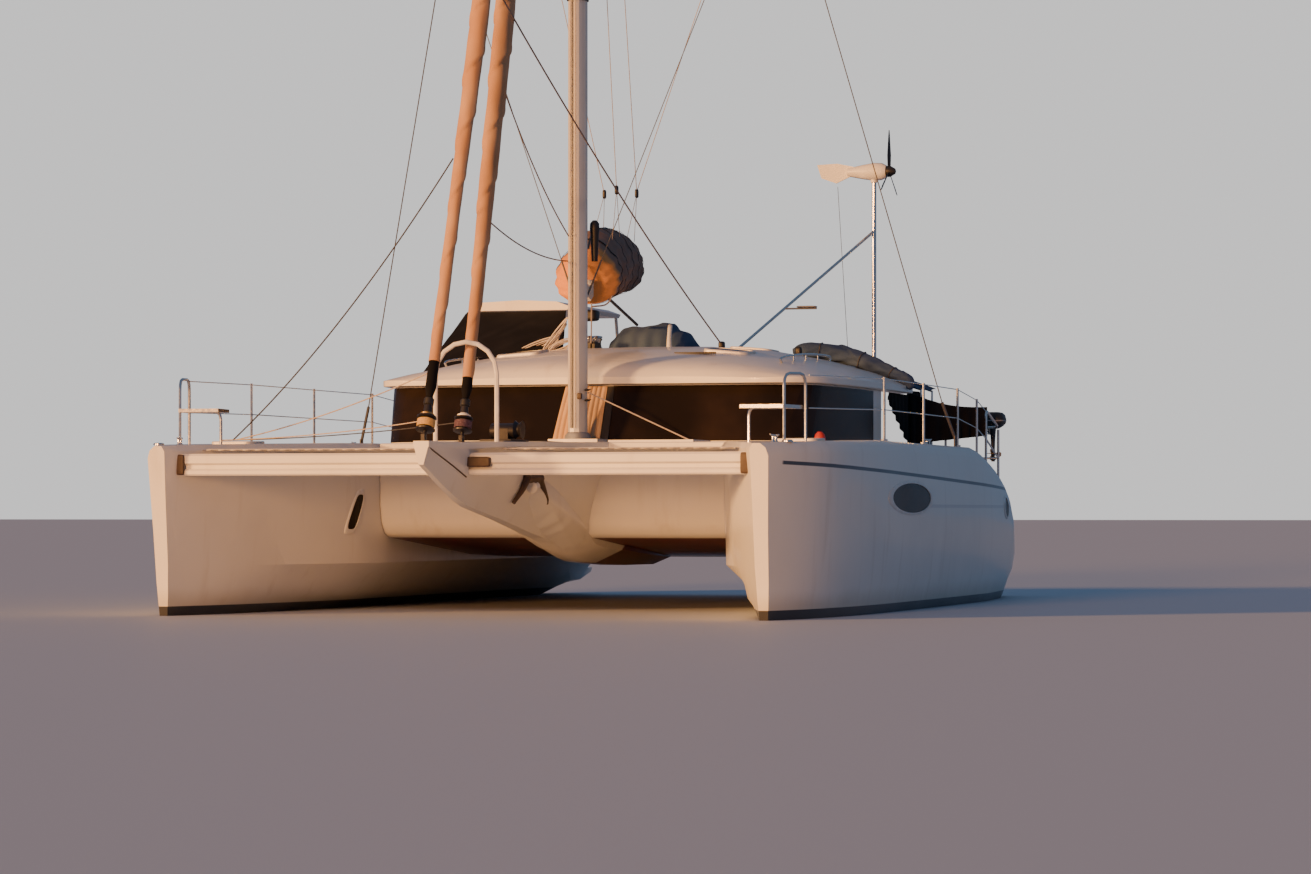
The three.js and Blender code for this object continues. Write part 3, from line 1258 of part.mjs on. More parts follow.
function swimLadder() {
  const { x, half, at, z, length } = LADDER;
  const rails = [x - half, x + half].map(
    (railX) => rod([railX, aft(at), z], [railX, aft(at), z + length], 14, 8),
  );
  const rungs = [0.3, 0.62, 0.94].map((part) => rod(
    [x - half, aft(at), z + length * part], [x + half, aft(at), z + length * part], 13, 8,
  ));
  const reach = half + 21 - GAP;
  const pin = rod([x - reach, aft(at), z], [x + reach, aft(at), z], 10, 8);
  return join(...rails, ...rungs, pin);
}

// Finishes: colour, roughness, metalness
const FINISH = {
  gelcoat: [0xf1eee6, 0.35, 0],
  antifouling: [0x2a2b30, 0.8, 0],
  aluminium: [0xc9c8c4, 0.45, 0.9],
  steel: [0xd8d8d8, 0.25, 1],
  bronze: [0xa88a4a, 0.4, 0.9],
  net: [0xdad8d0, 0.9, 0],
  glass: [0x1b1512, 0.08, 0],
  sailCover: [0xb98f66, 0.9, 0],
  canvas: [0x6d7a8c, 0.95, 0],
  blackCloth: [0x15151a, 0.95, 0],
  plastic: [0x1d1e22, 0.5, 0],
  wood: [0x8a5a32, 0.6, 0],
  fabric: [0xd8cfbd, 0.95, 0],
};

const boat = new THREE.Group();
function place(name, finish, solid) {
  const [color, roughness, metalness] = FINISH[finish];
  const material = new THREE.MeshStandardMaterial({ color, roughness, metalness });
  const mesh = new THREE.Mesh(toGeometry(solid), material);
  mesh.name = name;
  boat.add(mesh);
}

function placePair(name, finish, portSolid) {
  place(`${name}_port`, finish, portSolid);
  place(`${name}_starboard`, finish, mirrored(portSolid));
}

place('hull_port', 'gelcoat', hullPort);
place('hull_starboard', 'gelcoat', hullStarboard);
place('bridgedeck', 'gelcoat', bridge());
place('centre_nacelle', 'gelcoat', spineSolid);
placePair('keel', 'antifouling', keelPort());
placePair('saildrive', 'aluminium', saildrivePort());
placePair('propeller', 'bronze', propellerPort());
placePair('rudder', 'antifouling', rudderPort());
place('crossbeam', 'aluminium', crossbeam());
placePair('trampoline', 'net', trampolinePort());
placePair('pulpit', 'steel', pulpitPort());
place('bow_hoop', 'steel', bowHoop());
placePair('guardrail', 'steel', guardRailPort());
place('cabin_front', 'gelcoat', cabinFront());
placePair('cabin_side', 'gelcoat', cabinSidePort());
place('cabin_aft', 'gelcoat', cabinAft());
place('cabin_roof', 'gelcoat', roofSolid);
placePair('window_band', 'glass', windowBandPort());
place('saloon_door', 'glass', saloonDoor());
place('saloon_settee', 'fabric', saloonSettee());
place('saloon_table', 'wood', saloonTable());
place('mast', 'aluminium', mastSolid);
placePair('shroud', 'steel', shroudPort());
place('furled_sail_outer', 'sailCover', furledSail(STAYS.outer));
place('furled_sail_inner', 'sailCover', furledSail(STAYS.inner));
place('furler_drum_outer', 'aluminium', furlerDrum(STAYS.outer));
place('furler_drum_inner', 'aluminium', furlerDrum(STAYS.inner));
place('boom', 'aluminium', boom());
place('sail_bag', 'sailCover', sailBag());
place('helm_console', 'gelcoat', helmConsole());
place('helm_wheel', 'steel', helmWheel());
place('helm_seat', 'fabric', helmSeat());
place('helm_top', 'gelcoat', helmTop());
place('helm_windscreen', 'blackCloth', helmWindscreen());
place('cockpit_canopy', 'canvas', cockpitCanopy());
place('canopy_frame', 'steel', canopyFrame());
place('canvas_roll', 'canvas', canvasRoll());
place('roof_hood', 'canvas', roofHood());
place('shade_cloth', 'blackCloth', shadeCloth());
place('cockpit_seats', 'fabric', cockpitSeats());
place('cockpit_table', 'wood', cockpitTable());
place('wind_pole', 'steel', windPole());
place('wind_head', 'gelcoat', windHead());
place('wind_rotor', 'plastic', windRotor());
place('outboard', 'plastic', outboard());
place('locker_lid_port', 'gelcoat', lockerLid(1));
place('locker_lid_starboard', 'gelcoat', lockerLid(-1));
place('anchor_windlass', 'steel', anchorWindlass());
place('swim_ladder', 'steel', swimLadder());

export default boat;
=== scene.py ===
import math

import bmesh
import bpy
import numpy as np
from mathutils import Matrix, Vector
from mathutils.bvhtree import BVHTree


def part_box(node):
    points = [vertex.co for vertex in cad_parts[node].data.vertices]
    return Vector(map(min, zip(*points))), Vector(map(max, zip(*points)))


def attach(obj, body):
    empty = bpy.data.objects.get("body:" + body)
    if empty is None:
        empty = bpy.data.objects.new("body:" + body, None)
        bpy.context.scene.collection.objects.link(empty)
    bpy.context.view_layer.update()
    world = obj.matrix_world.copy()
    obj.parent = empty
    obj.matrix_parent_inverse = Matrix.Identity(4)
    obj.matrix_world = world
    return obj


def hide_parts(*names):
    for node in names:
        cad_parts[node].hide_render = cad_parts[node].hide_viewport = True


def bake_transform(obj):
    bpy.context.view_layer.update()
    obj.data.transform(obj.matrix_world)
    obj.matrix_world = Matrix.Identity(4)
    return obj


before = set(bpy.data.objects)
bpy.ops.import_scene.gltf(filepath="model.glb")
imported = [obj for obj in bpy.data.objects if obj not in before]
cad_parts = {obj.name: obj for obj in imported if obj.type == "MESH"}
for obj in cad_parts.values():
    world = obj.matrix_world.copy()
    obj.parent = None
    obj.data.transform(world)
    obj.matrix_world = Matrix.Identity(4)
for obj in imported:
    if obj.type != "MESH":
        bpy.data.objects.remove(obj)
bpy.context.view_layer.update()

ORIGIN_AFT = 5.95  # the origin lies this far aft of the stems


def aft(distance):
    """Distance aft of the stems, in metres, to the frame's Y."""
    return distance - ORIGIN_AFT


# Camera at the photograph's place: low, ahead and to port
camera_data = bpy.data.cameras.new("camera")
camera = bpy.data.objects.new("camera", camera_data)
bpy.context.scene.collection.objects.link(camera)
camera_data.sensor_width = 36
camera_data.lens = 106.85
camera_data.shift_y = 0.0572
camera_data.clip_end = 600
camera.location = (11.28, -38.266, 0.938)
camera.rotation_euler = (math.radians(90), 0, math.radians(16.22))
bpy.context.scene.camera = camera


# Shapes: every one is a pair of points and faces, worked out as whole arrays
def circle(count):
    """Equal angles round a full turn."""
    return np.linspace(0, 2 * np.pi, count, endpoint=False)


def signed_power(value, power):
    """A power that keeps the sign: below 1 it squares off a sine or a cosine."""
    return np.sign(value) * np.abs(value) ** power


def between(start, end, share):
    """Point at a share of the way from start to end."""
    return start + (end - start) * share


def grid_faces(rows, columns, wrap_rows=False, wrap_columns=False):
    """Quads between neighbours of a grid of points; wrapping joins the last row or column to the first."""
    r = np.arange(rows if wrap_rows else rows - 1)
    c = np.arange(columns if wrap_columns else columns - 1)
    r, c = np.meshgrid(r, c, indexing="ij")
    r_next = (r + 1) % rows
    c_next = (c + 1) % columns
    corners = [r * columns + c, r * columns + c_next, r_next * columns + c_next, r_next * columns + c]
    return [tuple(face) for face in np.stack(corners, axis=-1).reshape(-1, 4).tolist()]


def sheet_shape(points, wrap_rows=False, wrap_columns=False, caps=False):
    """A grid of points with quads between them; caps close the first and last row when the columns wrap."""
    rows, columns = points.shape[:2]
    faces = grid_faces(rows, columns, wrap_rows, wrap_columns)
    if caps:
        faces.append(tuple(range(columns))[::-1])
        faces.append(tuple((rows - 1) * columns + np.arange(columns)))
    return points.reshape(-1, 3), faces


def along_path(path):
    """Unit tangents and two unit normals at each point of a path, the normals carried on without twist."""
    tangents = np.gradient(path, axis=0)
    tangents /= np.linalg.norm(tangents, axis=1, keepdims=True)
    start = np.eye(3)[np.argmin(np.abs(tangents[0]))]
    normals = np.zeros_like(path)
    side = np.cross(tangents[0], start)
    for i, tangent in enumerate(tangents):
        side = side - tangent * (side @ tangent)
        side = side / np.linalg.norm(side)
        normals[i] = side
    return tangents, normals, np.cross(tangents, normals)


def tube(path, radius, sides=8):
    """Tube: a circle of the given radius, or of one radius for each point, carried along the path."""
    path = np.asarray(path, float)
    _, first, second = along_path(path)
    radius = np.broadcast_to(np.asarray(radius, float), len(path))
    angle = circle(sides)
    ring = np.cos(angle)[None, :, None] * first[:, None] + np.sin(angle)[None, :, None] * second[:, None]
    return sheet_shape(path[:, None] + ring * radius[:, None, None], wrap_columns=True, caps=True)


def smooth_path(points, count):
    """Curve through the given points: cubic pieces whose slopes are the mean of the chords beside them."""
    points = np.asarray(points, float)
    ends = np.vstack([2 * points[0] - points[1], points, 2 * points[-1] - points[-2]])
    t = np.linspace(0, len(points) - 1, count)
    i = np.minimum(t.astype(int), len(points) - 2)
    f = (t - i)[:, None]
    a, b, c, d = ends[i], ends[i + 1], ends[i + 2], ends[i + 3]
    square = (2 * a - 5 * b + 4 * c - d) * f**2
    cube = (3 * b - a - 3 * c + d) * f**3
    return 0.5 * (2 * b + (c - a) * f + square + cube)


def hanging(start, end, sag, count):
    """Line between two points that sags by a parabola, deepest halfway."""
    t = np.linspace(0, 1, count)[:, None]
    path = np.asarray(start, float) * (1 - t) + np.asarray(end, float) * t
    path[:, 2] -= 4 * sag * (t * (1 - t))[:, 0]
    return path


def straight(start, end, radius, sides=6):
    """Tube between two points."""
    return tube(np.linspace(start, end, 3), radius, sides)


def turned(profile, origin, axis, sides=24):
    """Profile of (radius, distance along the axis) pairs, turned round the axis from the origin."""
    axis = np.asarray(axis, float) / np.linalg.norm(axis)
    first = np.cross(axis, np.eye(3)[np.argmin(np.abs(axis))])
    first /= np.linalg.norm(first)
    second = np.cross(axis, first)
    angle = circle(sides)
    ring = np.cos(angle)[:, None] * first + np.sin(angle)[:, None] * second
    radius, distance = np.asarray(profile, float).T
    points = np.asarray(origin, float) + distance[:, None, None] * axis + radius[:, None, None] * ring
    return sheet_shape(points, wrap_columns=True, caps=True)


def soft_box(low, high, power, rows, columns):
    """Superellipsoid filling a box: sines and cosines to 2 / power, so a high power gives flat faces."""
    low, high = np.asarray(low, float), np.asarray(high, float)
    v = np.linspace(-np.pi / 2, np.pi / 2, rows)[:, None]
    u = np.linspace(-np.pi, np.pi, columns, endpoint=False)[None]
    wide = signed_power(np.cos(v), 2 / power)
    x = wide * signed_power(np.cos(u), 2 / power)
    y = wide * signed_power(np.sin(u), 2 / power)
    z = signed_power(np.sin(v), 2 / power) * np.ones_like(u)
    points = (low + high) / 2 + np.stack([x, y, z], axis=-1) * (high - low) / 2
    return sheet_shape(points, wrap_columns=True)


def slab(low, high):
    """Plain block between two corners, for thin plates that get a bevel."""
    (x0, y0, z0), (x1, y1, z1) = low, high
    ring = np.array([[x0, y0], [x1, y0], [x1, y1], [x0, y1]])
    points = np.stack([np.column_stack([ring, np.full(4, z)]) for z in (z0, z1)])
    return sheet_shape(points, wrap_columns=True, caps=True)


def mirrored(shape):
    """The same shape on the other side of the centreplane, with its faces turned back outwards."""
    points, faces = shape
    return points * [-1, 1, 1], [face[::-1] for face in faces]


def shade(mesh, degrees):
    """Smooth shading with a hard line at edges that turn more than the given angle."""
    mesh.shade_smooth()
    mesh.set_sharp_from_angle(angle=math.radians(degrees))


def bevel(obj, width):
    """Rounds the hard edges."""
    modifier = obj.modifiers.new("rounded edges", "BEVEL")
    modifier.width = width
    modifier.segments = 2
    modifier.limit_method = "ANGLE"
    modifier.angle_limit = math.radians(35)
    modifier.harden_normals = True


def piece(name, shapes, material, body="boat", stands_for=(), slot=None, sharp=40, round_by=None,
          closed=True):
    """One object out of one or several shapes, riding on a body unless body is None."""
    if isinstance(shapes, tuple):
        shapes = [shapes]
    starts = np.cumsum([0] + [len(points) for points, _ in shapes])
    points = np.vstack([points for points, _ in shapes])
    faces = []
    for (_, part), start in zip(shapes, starts):
        faces += [tuple(int(i) + start for i in face) for face in part]
    mesh = bpy.data.meshes.new(name)
    mesh.from_pydata(points.tolist(), [], faces)
    work = bmesh.new()
    work.from_mesh(mesh)
    bmesh.ops.remove_doubles(work, verts=work.verts, dist=1e-6)
    if closed:
        bmesh.ops.recalc_face_normals(work, faces=work.faces)
    work.to_mesh(mesh)
    work.free()
    mesh.validate()
    shade(mesh, sharp)
    obj = bpy.data.objects.new(name, mesh)
    bpy.context.scene.collection.objects.link(obj)
    mesh.materials.append(material)
    if round_by:
        bevel(obj, round_by)
    if stands_for:
        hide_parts(*stands_for)
    if body:
        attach(obj, body)
    return obj


def on_both_sides(name, shapes, material, **settings):
    """One piece on the port side and its mirror image to starboard."""
    piece(name + "_port", shapes, material, **settings)
    piece(name + "_starboard", [mirrored(shape) for shape in shapes], material, **settings)


def refined(node, material, slot, body, round_by):
    """Copy of a frame node with its triangles joined, shaded smooth, its hard edges rounded."""
    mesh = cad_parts[node].data.copy()
    work = bmesh.new()
    work.from_mesh(mesh)
    bmesh.ops.remove_doubles(work, verts=work.verts, dist=2e-5)
    bmesh.ops.dissolve_limit(work, angle_limit=math.radians(0.6), verts=work.verts, edges=work.edges)
    work.to_mesh(mesh)
    work.free()
    if "custom_normal" in mesh.attributes:
        mesh.attributes.remove(mesh.attributes["custom_normal"])
    mesh.materials.clear()
    mesh.materials.append(material)
    shade(mesh, 38)
    obj = bpy.data.objects.new(node + "_finished", mesh)
    bpy.context.scene.collection.objects.link(obj)
    if round_by:
        bevel(obj, round_by)
    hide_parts(node)
    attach(obj, body)


# Finishes
class Finish:
    """A material under construction: a principled shader with object coordinates at hand."""

    def __init__(self, name, colour, roughness, metallic=0.0, **sockets):
        self.material = bpy.data.materials.new(name)
        self.material.use_nodes = True
        self.tree = self.material.node_tree
        self.shader = self.tree.nodes["Principled BSDF"]
        self.colour = None
        self.shader.inputs["Base Color"].default_value = (*colour, 1)
        self.base = colour
        self.shader.inputs["Roughness"].default_value = roughness
        self.shader.inputs["Metallic"].default_value = metallic
        for socket, value in sockets.items():
            self.shader.inputs[socket.replace("_", " ")].default_value = value
        self.place = self.node("ShaderNodeTexCoord").outputs["Object"]
        self.heights = []

    def node(self, kind, **settings):
        """New shader node with its settings."""
        made = self.tree.nodes.new(kind)
        for key, value in settings.items():
            setattr(made, key, value)
        return made

    def link(self, output, socket):
        """Wire from an output to an input."""
        self.tree.links.new(output, socket)

    def scaled(self, scale):
        """Object coordinates stretched by three factors."""
        mapping = self.node("ShaderNodeMapping")
        self.link(self.place, mapping.inputs["Vector"])
        mapping.inputs["Scale"].default_value = scale
        return mapping.outputs["Vector"]

    def noise(self, scale, detail=4.0, stretch=(1, 1, 1)):
        """Noise from 0 to 1 over object coordinates."""
        texture = self.node("ShaderNodeTexNoise")
        self.link(self.scaled(stretch), texture.inputs["Vector"])
        texture.inputs["Scale"].default_value = scale
        texture.inputs["Detail"].default_value = detail
        return texture.outputs["Fac"]

    def axis(self, name):
        """One object coordinate."""
        split = self.node("ShaderNodeSeparateXYZ")
        self.link(self.place, split.inputs["Vector"])
        return split.outputs[name]

    def ramp(self, value, low, high):
        """Soft step: 0 below low, 1 above high, or the other way round when low is larger."""
        step = self.node("ShaderNodeMapRange", interpolation_type="SMOOTHSTEP")
        self.link(value, step.inputs["Value"])
        step.inputs["From Min"].default_value = min(low, high)
        step.inputs["From Max"].default_value = max(low, high)
        if low > high:
            step.inputs["To Min"].default_value = 1
            step.inputs["To Max"].default_value = 0
        return step.outputs["Result"]

    def math(self, operation, first, second):
        """Arithmetic between an output and an output or a number."""
        step = self.node("ShaderNodeMath", operation=operation)
        for value, socket in zip((first, second), step.inputs):
            if isinstance(value, (int, float)):
                socket.default_value = value
            else:
                self.link(value, socket)
        return step.outputs["Value"]

    def paint(self, share, colour):
        """Lays a colour over what is there, by a share from 0 to 1."""
        mix = self.node("ShaderNodeMix", data_type="RGBA")
        self.link(share, mix.inputs["Factor"])
        if self.colour is None:
            mix.inputs["A"].default_value = (*self.base, 1)
        else:
            self.link(self.colour, mix.inputs["A"])
        mix.inputs["B"].default_value = (*colour, 1)
        self.colour = mix.outputs["Result"]
        self.link(self.colour, self.shader.inputs["Base Color"])

    def rough(self, value, low, high):
        """Roughness that follows a value from 0 to 1."""
        step = self.node("ShaderNodeMapRange")
        self.link(value, step.inputs["Value"])
        step.inputs["To Min"].default_value = low
        step.inputs["To Max"].default_value = high
        self.link(step.outputs["Result"], self.shader.inputs["Roughness"])

    def bump(self, height, depth, strength=1.0):
        """Relief of the given depth in metres, on top of what is there."""
        made = self.node("ShaderNodeBump")
        made.inputs["Distance"].default_value = depth
        made.inputs["Strength"].default_value = strength
        self.link(height, made.inputs["Height"])
        if self.heights:
            self.link(self.heights[-1], made.inputs["Normal"])
        self.heights.append(made.outputs["Normal"])
        self.link(made.outputs["Normal"], self.shader.inputs["Normal"])


def moulded_gelcoat(name="gelcoat"):
    """Off-white moulded skin: faint chalking in patches, dirt streaks that run down, slight orange peel."""
    colour = (0.80, 0.77, 0.71)
    made = Finish(name, colour, 0.32, Coat_Weight=0.25)
    patches = made.noise(0.9, 5)
    streaks = made.noise(6.0, 6, (1.0, 1.0, 0.09))
    made.paint(made.ramp(patches, 0.45, 0.75), tuple(c * 0.93 for c in colour))
    made.paint(made.math("MULTIPLY", made.ramp(streaks, 0.55, 0.8), 0.35), (0.55, 0.49, 0.41))
    made.rough(patches, 0.24, 0.44)
    made.bump(made.noise(55, 2), 0.0006, 0.25)
    made.bump(made.noise(1.6, 2), 0.004, 0.25)
    return made


def hull_skin():
    """Gelcoat with the dark boot top, a stain above it, a thin dark line along the outer side, and a faint
    blue-grey line below it that is painted shade of a shallow recess between the windows.
    """
    made = moulded_gelcoat("hull_gelcoat")
    height = made.axis("Z")
    along = made.axis("Y")
    across = made.math("ABSOLUTE", made.axis("X"), 0)

    def stripe(level, centre, half_width, soft):
        """Share of a stripe at one height."""
        away = made.math("ABSOLUTE", made.math("SUBTRACT", level, centre), 0)
        return made.ramp(away, half_width + soft, half_width)

    outer = made.math("MULTIPLY", made.ramp(across, 2.90, 2.92), made.ramp(along, aft(0.20), aft(0.24)))
    sheer = made.math("ADD", height, made.math("MULTIPLY", along, 0.0205))
    made.paint(made.math("MULTIPLY", stripe(sheer, 1.248, 0.014, 0.004), outer), (0.05, 0.055, 0.07))
    # Painted shade: a faint blue-grey line at 0.995 m, aft of the front window, stands in for the shade of a
    # shallow recess between the windows.
    reach = made.math("MULTIPLY", made.ramp(along, aft(3.9), aft(4.2)), outer)
    lower = made.math("MULTIPLY", stripe(height, 0.995, 0.012, 0.008), reach)
    made.paint(made.math("MULTIPLY", lower, 0.35), (0.25, 0.27, 0.31))
    wavy = made.math("ADD", height, made.math("MULTIPLY", made.noise(3.0, 4), -0.10))
    made.paint(made.math("MULTIPLY", made.ramp(wavy, 0.22, 0.03), 0.45), (0.40, 0.33, 0.20))
    made.paint(made.ramp(height, 0.088, 0.082), (0.020, 0.021, 0.026))
    return made.material


RED_PAINT = (0.105, 0.006, 0.009)
RED_PAINT_WORN = (0.19, 0.018, 0.018)


def bridge_skin():
    """Gelcoat whose underside behind the front wall carries dark red paint."""
    made = moulded_gelcoat("bridge_gelcoat")
    ahead = made.ramp(made.axis("Y"), aft(10.13), aft(10.12))
    below = made.math("MULTIPLY", made.ramp(made.axis("Z"), 0.696, 0.684), ahead)
    made.paint(below, RED_PAINT)
    made.paint(made.math("MULTIPLY", below, made.ramp(made.noise(4, 4), 0.5, 0.7)), RED_PAINT_WORN)
    return made.material


def spine_skin():
    """Gelcoat ahead, the same dark red paint on the lower part behind the mast."""
    made = moulded_gelcoat("spine_gelcoat")
    behind = made.math("ADD", made.axis("Y"), made.math("MULTIPLY", made.axis("Z"), -0.9))
    low = made.ramp(made.axis("Z"), 0.70, 0.68)
    made.paint(made.math("MULTIPLY", low, made.ramp(behind, aft(3.60), aft(3.66))), RED_PAINT)
    return made.material


def antifouling():
    """Matt charcoal bottom paint, rubbed lighter in patches."""
    made = Finish("antifouling", (0.022, 0.024, 0.03), 0.8)
    worn = made.noise(5, 6)
    made.paint(made.ramp(worn, 0.55, 0.8), (0.06, 0.06, 0.065))
    made.bump(made.noise(90, 3), 0.0015, 0.4)
    return made.material


def anodised(name, colour, roughness, metallic):
    """Drawn aluminium: fine lines along the section, dull handling marks."""
    made = Finish(name, colour, roughness, metallic)
    lines = made.noise(160, 2, (1, 1, 0.02))
    made.paint(made.ramp(made.noise(2.2, 5), 0.5, 0.8), tuple(c * 0.8 for c in colour))
    made.rough(lines, roughness - 0.1, roughness + 0.12)
    made.bump(lines, 0.0003, 0.3)
    return made.material


def stainless():
    """Polished tube, a little tea-stained."""
    made = Finish("stainless", (0.70, 0.69, 0.66), 0.22, 1.0)
    made.paint(made.ramp(made.noise(14, 5), 0.6, 0.8), (0.42, 0.34, 0.26))
    made.rough(made.noise(30, 3), 0.14, 0.32)
    return made.material


def woven(name, colour, second, folds=0.006, sheen=0.02):
    """Cloth: two crossed sets of threads, faded patches and soft creases."""
    made = Finish(name, colour, 0.85, Sheen_Weight=sheen, Sheen_Roughness=0.5, Specular_IOR_Level=0.12)
    made.paint(made.ramp(made.noise(2.4, 5), 0.35, 0.75), second)
    weave = made.math("ADD", made.noise(900, 1, (1, 1, 0.1)), made.noise(900, 1, (0.1, 0.1, 1)))
    made.bump(weave, 0.0008, 0.35)
    if folds:
        made.bump(made.noise(5.5, 3, (1, 1, 0.6)), folds, 0.5)
    return made.material


def tinted_pane():
    """Nearly black window with a sun screen behind it: soft gloss, a faint brown weave."""
    made = Finish("tinted_pane", (0.012, 0.009, 0.008), 0.2, Specular_IOR_Level=0.10)
    made.paint(made.ramp(made.noise(1.5, 3), 0.4, 0.8), (0.028, 0.018, 0.014))
    made.rough(made.noise(3.0, 4), 0.16, 0.32)
    made.bump(made.noise(1.1, 2), 0.004, 0.12)
    return made.material


def plain_plastic(name, colour, roughness=0.45):
    """Moulded plastic with a fine grain."""
    made = Finish(name, colour, roughness)
    made.paint(made.ramp(made.noise(7, 4), 0.5, 0.85), tuple(min(1.0, c * 1.5 + 0.02) for c in colour))
    made.rough(made.noise(40, 3), roughness - 0.08, roughness + 0.12)
    made.bump(made.noise(320, 2), 0.0004, 0.35)
    return made.material


def varnished_wood():
    """Planked teak brown, grain along X under a satin varnish."""
    made = Finish("varnished_wood", (0.30, 0.16, 0.07), 0.35, Coat_Weight=0.3)
    grain = made.noise(9, 6, (0.8, 9, 9))
    made.paint(made.ramp(grain, 0.35, 0.7), (0.17, 0.08, 0.035))
    made.bump(grain, 0.0008, 0.4)
    return made.material


def bronze():
    """Dull bronze with green-brown staining."""
    made = Finish("bronze", (0.42, 0.29, 0.12), 0.4, 0.9)
    made.paint(made.ramp(made.noise(18, 5), 0.5, 0.75), (0.17, 0.16, 0.10))
    made.bump(made.noise(120, 3), 0.0006, 0.3)
    return made.material


def rope(name, colour, fleck):
    """Braided line: short slanting strands with a coloured fleck."""
    made = Finish(name, colour, 0.8)
    made.paint(made.ramp(made.noise(140, 3), 0.52, 0.62), fleck)
    made.bump(made.noise(260, 2), 0.0015, 0.6)
    return made.material


def bag_cloth():
    """Brown canvas, with painted sunlight: a bright tan on the end by the mast, where the low sun lights it.
    """
    made = Finish("brown_sail_bag", (0.17, 0.105, 0.082), 0.85)
    made.paint(made.ramp(made.noise(2.4, 5), 0.35, 0.75), (0.25, 0.155, 0.115))
    # Painted sunlight: the end by the mast is coloured bright tan where the sun strikes it.
    made.paint(made.ramp(made.axis("Y"), aft(4.42), aft(4.30)), (0.74, 0.30, 0.08))
    made.bump(made.noise(900, 1, (1, 1, 0.1)), 0.0008, 0.35)
    made.bump(made.noise(5.5, 3, (1, 1, 0.6)), 0.012, 0.5)
    return made.material


GELCOAT = moulded_gelcoat().material
HULL = hull_skin()
BRIDGE = bridge_skin()
SPINE = spine_skin()
BOTTOM = antifouling()
SPAR = anodised("spar_aluminium", (0.80, 0.76, 0.68), 0.48, 0.25)
WIRE = anodised("wire_rope", (0.09, 0.09, 0.10), 0.5, 0.3)
DRUM = anodised("dark_anodised", (0.030, 0.028, 0.034), 0.4, 0.4)
STEEL = stainless()
BRONZE = bronze()
PANE = tinted_pane()
WOOD = varnished_wood()
BLACK = plain_plastic("black_plastic", (0.014, 0.014, 0.017))
WHITE = plain_plastic("white_plastic", (0.72, 0.70, 0.66), 0.38)
GREY = plain_plastic("grey_plastic", (0.25, 0.26, 0.28))
RED = plain_plastic("red_plastic", (0.40, 0.03, 0.02))
ROLLER_BROWN = plain_plastic("roller_brown", (0.055, 0.030, 0.020), 0.5)
BAG = bag_cloth()
CANVAS = woven("blue_grey_canvas", (0.046, 0.078, 0.150), (0.065, 0.10, 0.175))
DARK_CANVAS = woven("black_canvas", (0.005, 0.005, 0.007), (0.011, 0.010, 0.012))
SAIL_COVER = woven("tan_sail_cover", (0.50, 0.27, 0.14), (0.58, 0.35, 0.20), folds=0.004, sheen=0.15)
PILLAR_CLOTH = woven("pillar_cloth", (0.52, 0.34, 0.19), (0.60, 0.42, 0.26))
UPHOLSTERY = woven("beige_upholstery", (0.42, 0.37, 0.31), (0.48, 0.43, 0.37))
NET = woven("pale_net", (0.60, 0.58, 0.54), (0.50, 0.48, 0.44), folds=0)
PALE_ROPE = rope("pale_rope", (0.55, 0.49, 0.42), (0.35, 0.20, 0.20))
WHITE_ROPE = rope("white_rope", (0.74, 0.69, 0.62), (0.52, 0.38, 0.35))
DULL_ROPE = rope("dull_rope", (0.22, 0.17, 0.16), (0.12, 0.10, 0.11))
DARK_ROPE = rope("dark_rope", (0.045, 0.045, 0.055), (0.12, 0.12, 0.14))
GOLD_ROPE = rope("gold_rope", (0.62, 0.42, 0.16), (0.45, 0.28, 0.10))
PLUM_ROPE = rope("plum_rope", (0.10, 0.05, 0.08), (0.20, 0.14, 0.18))

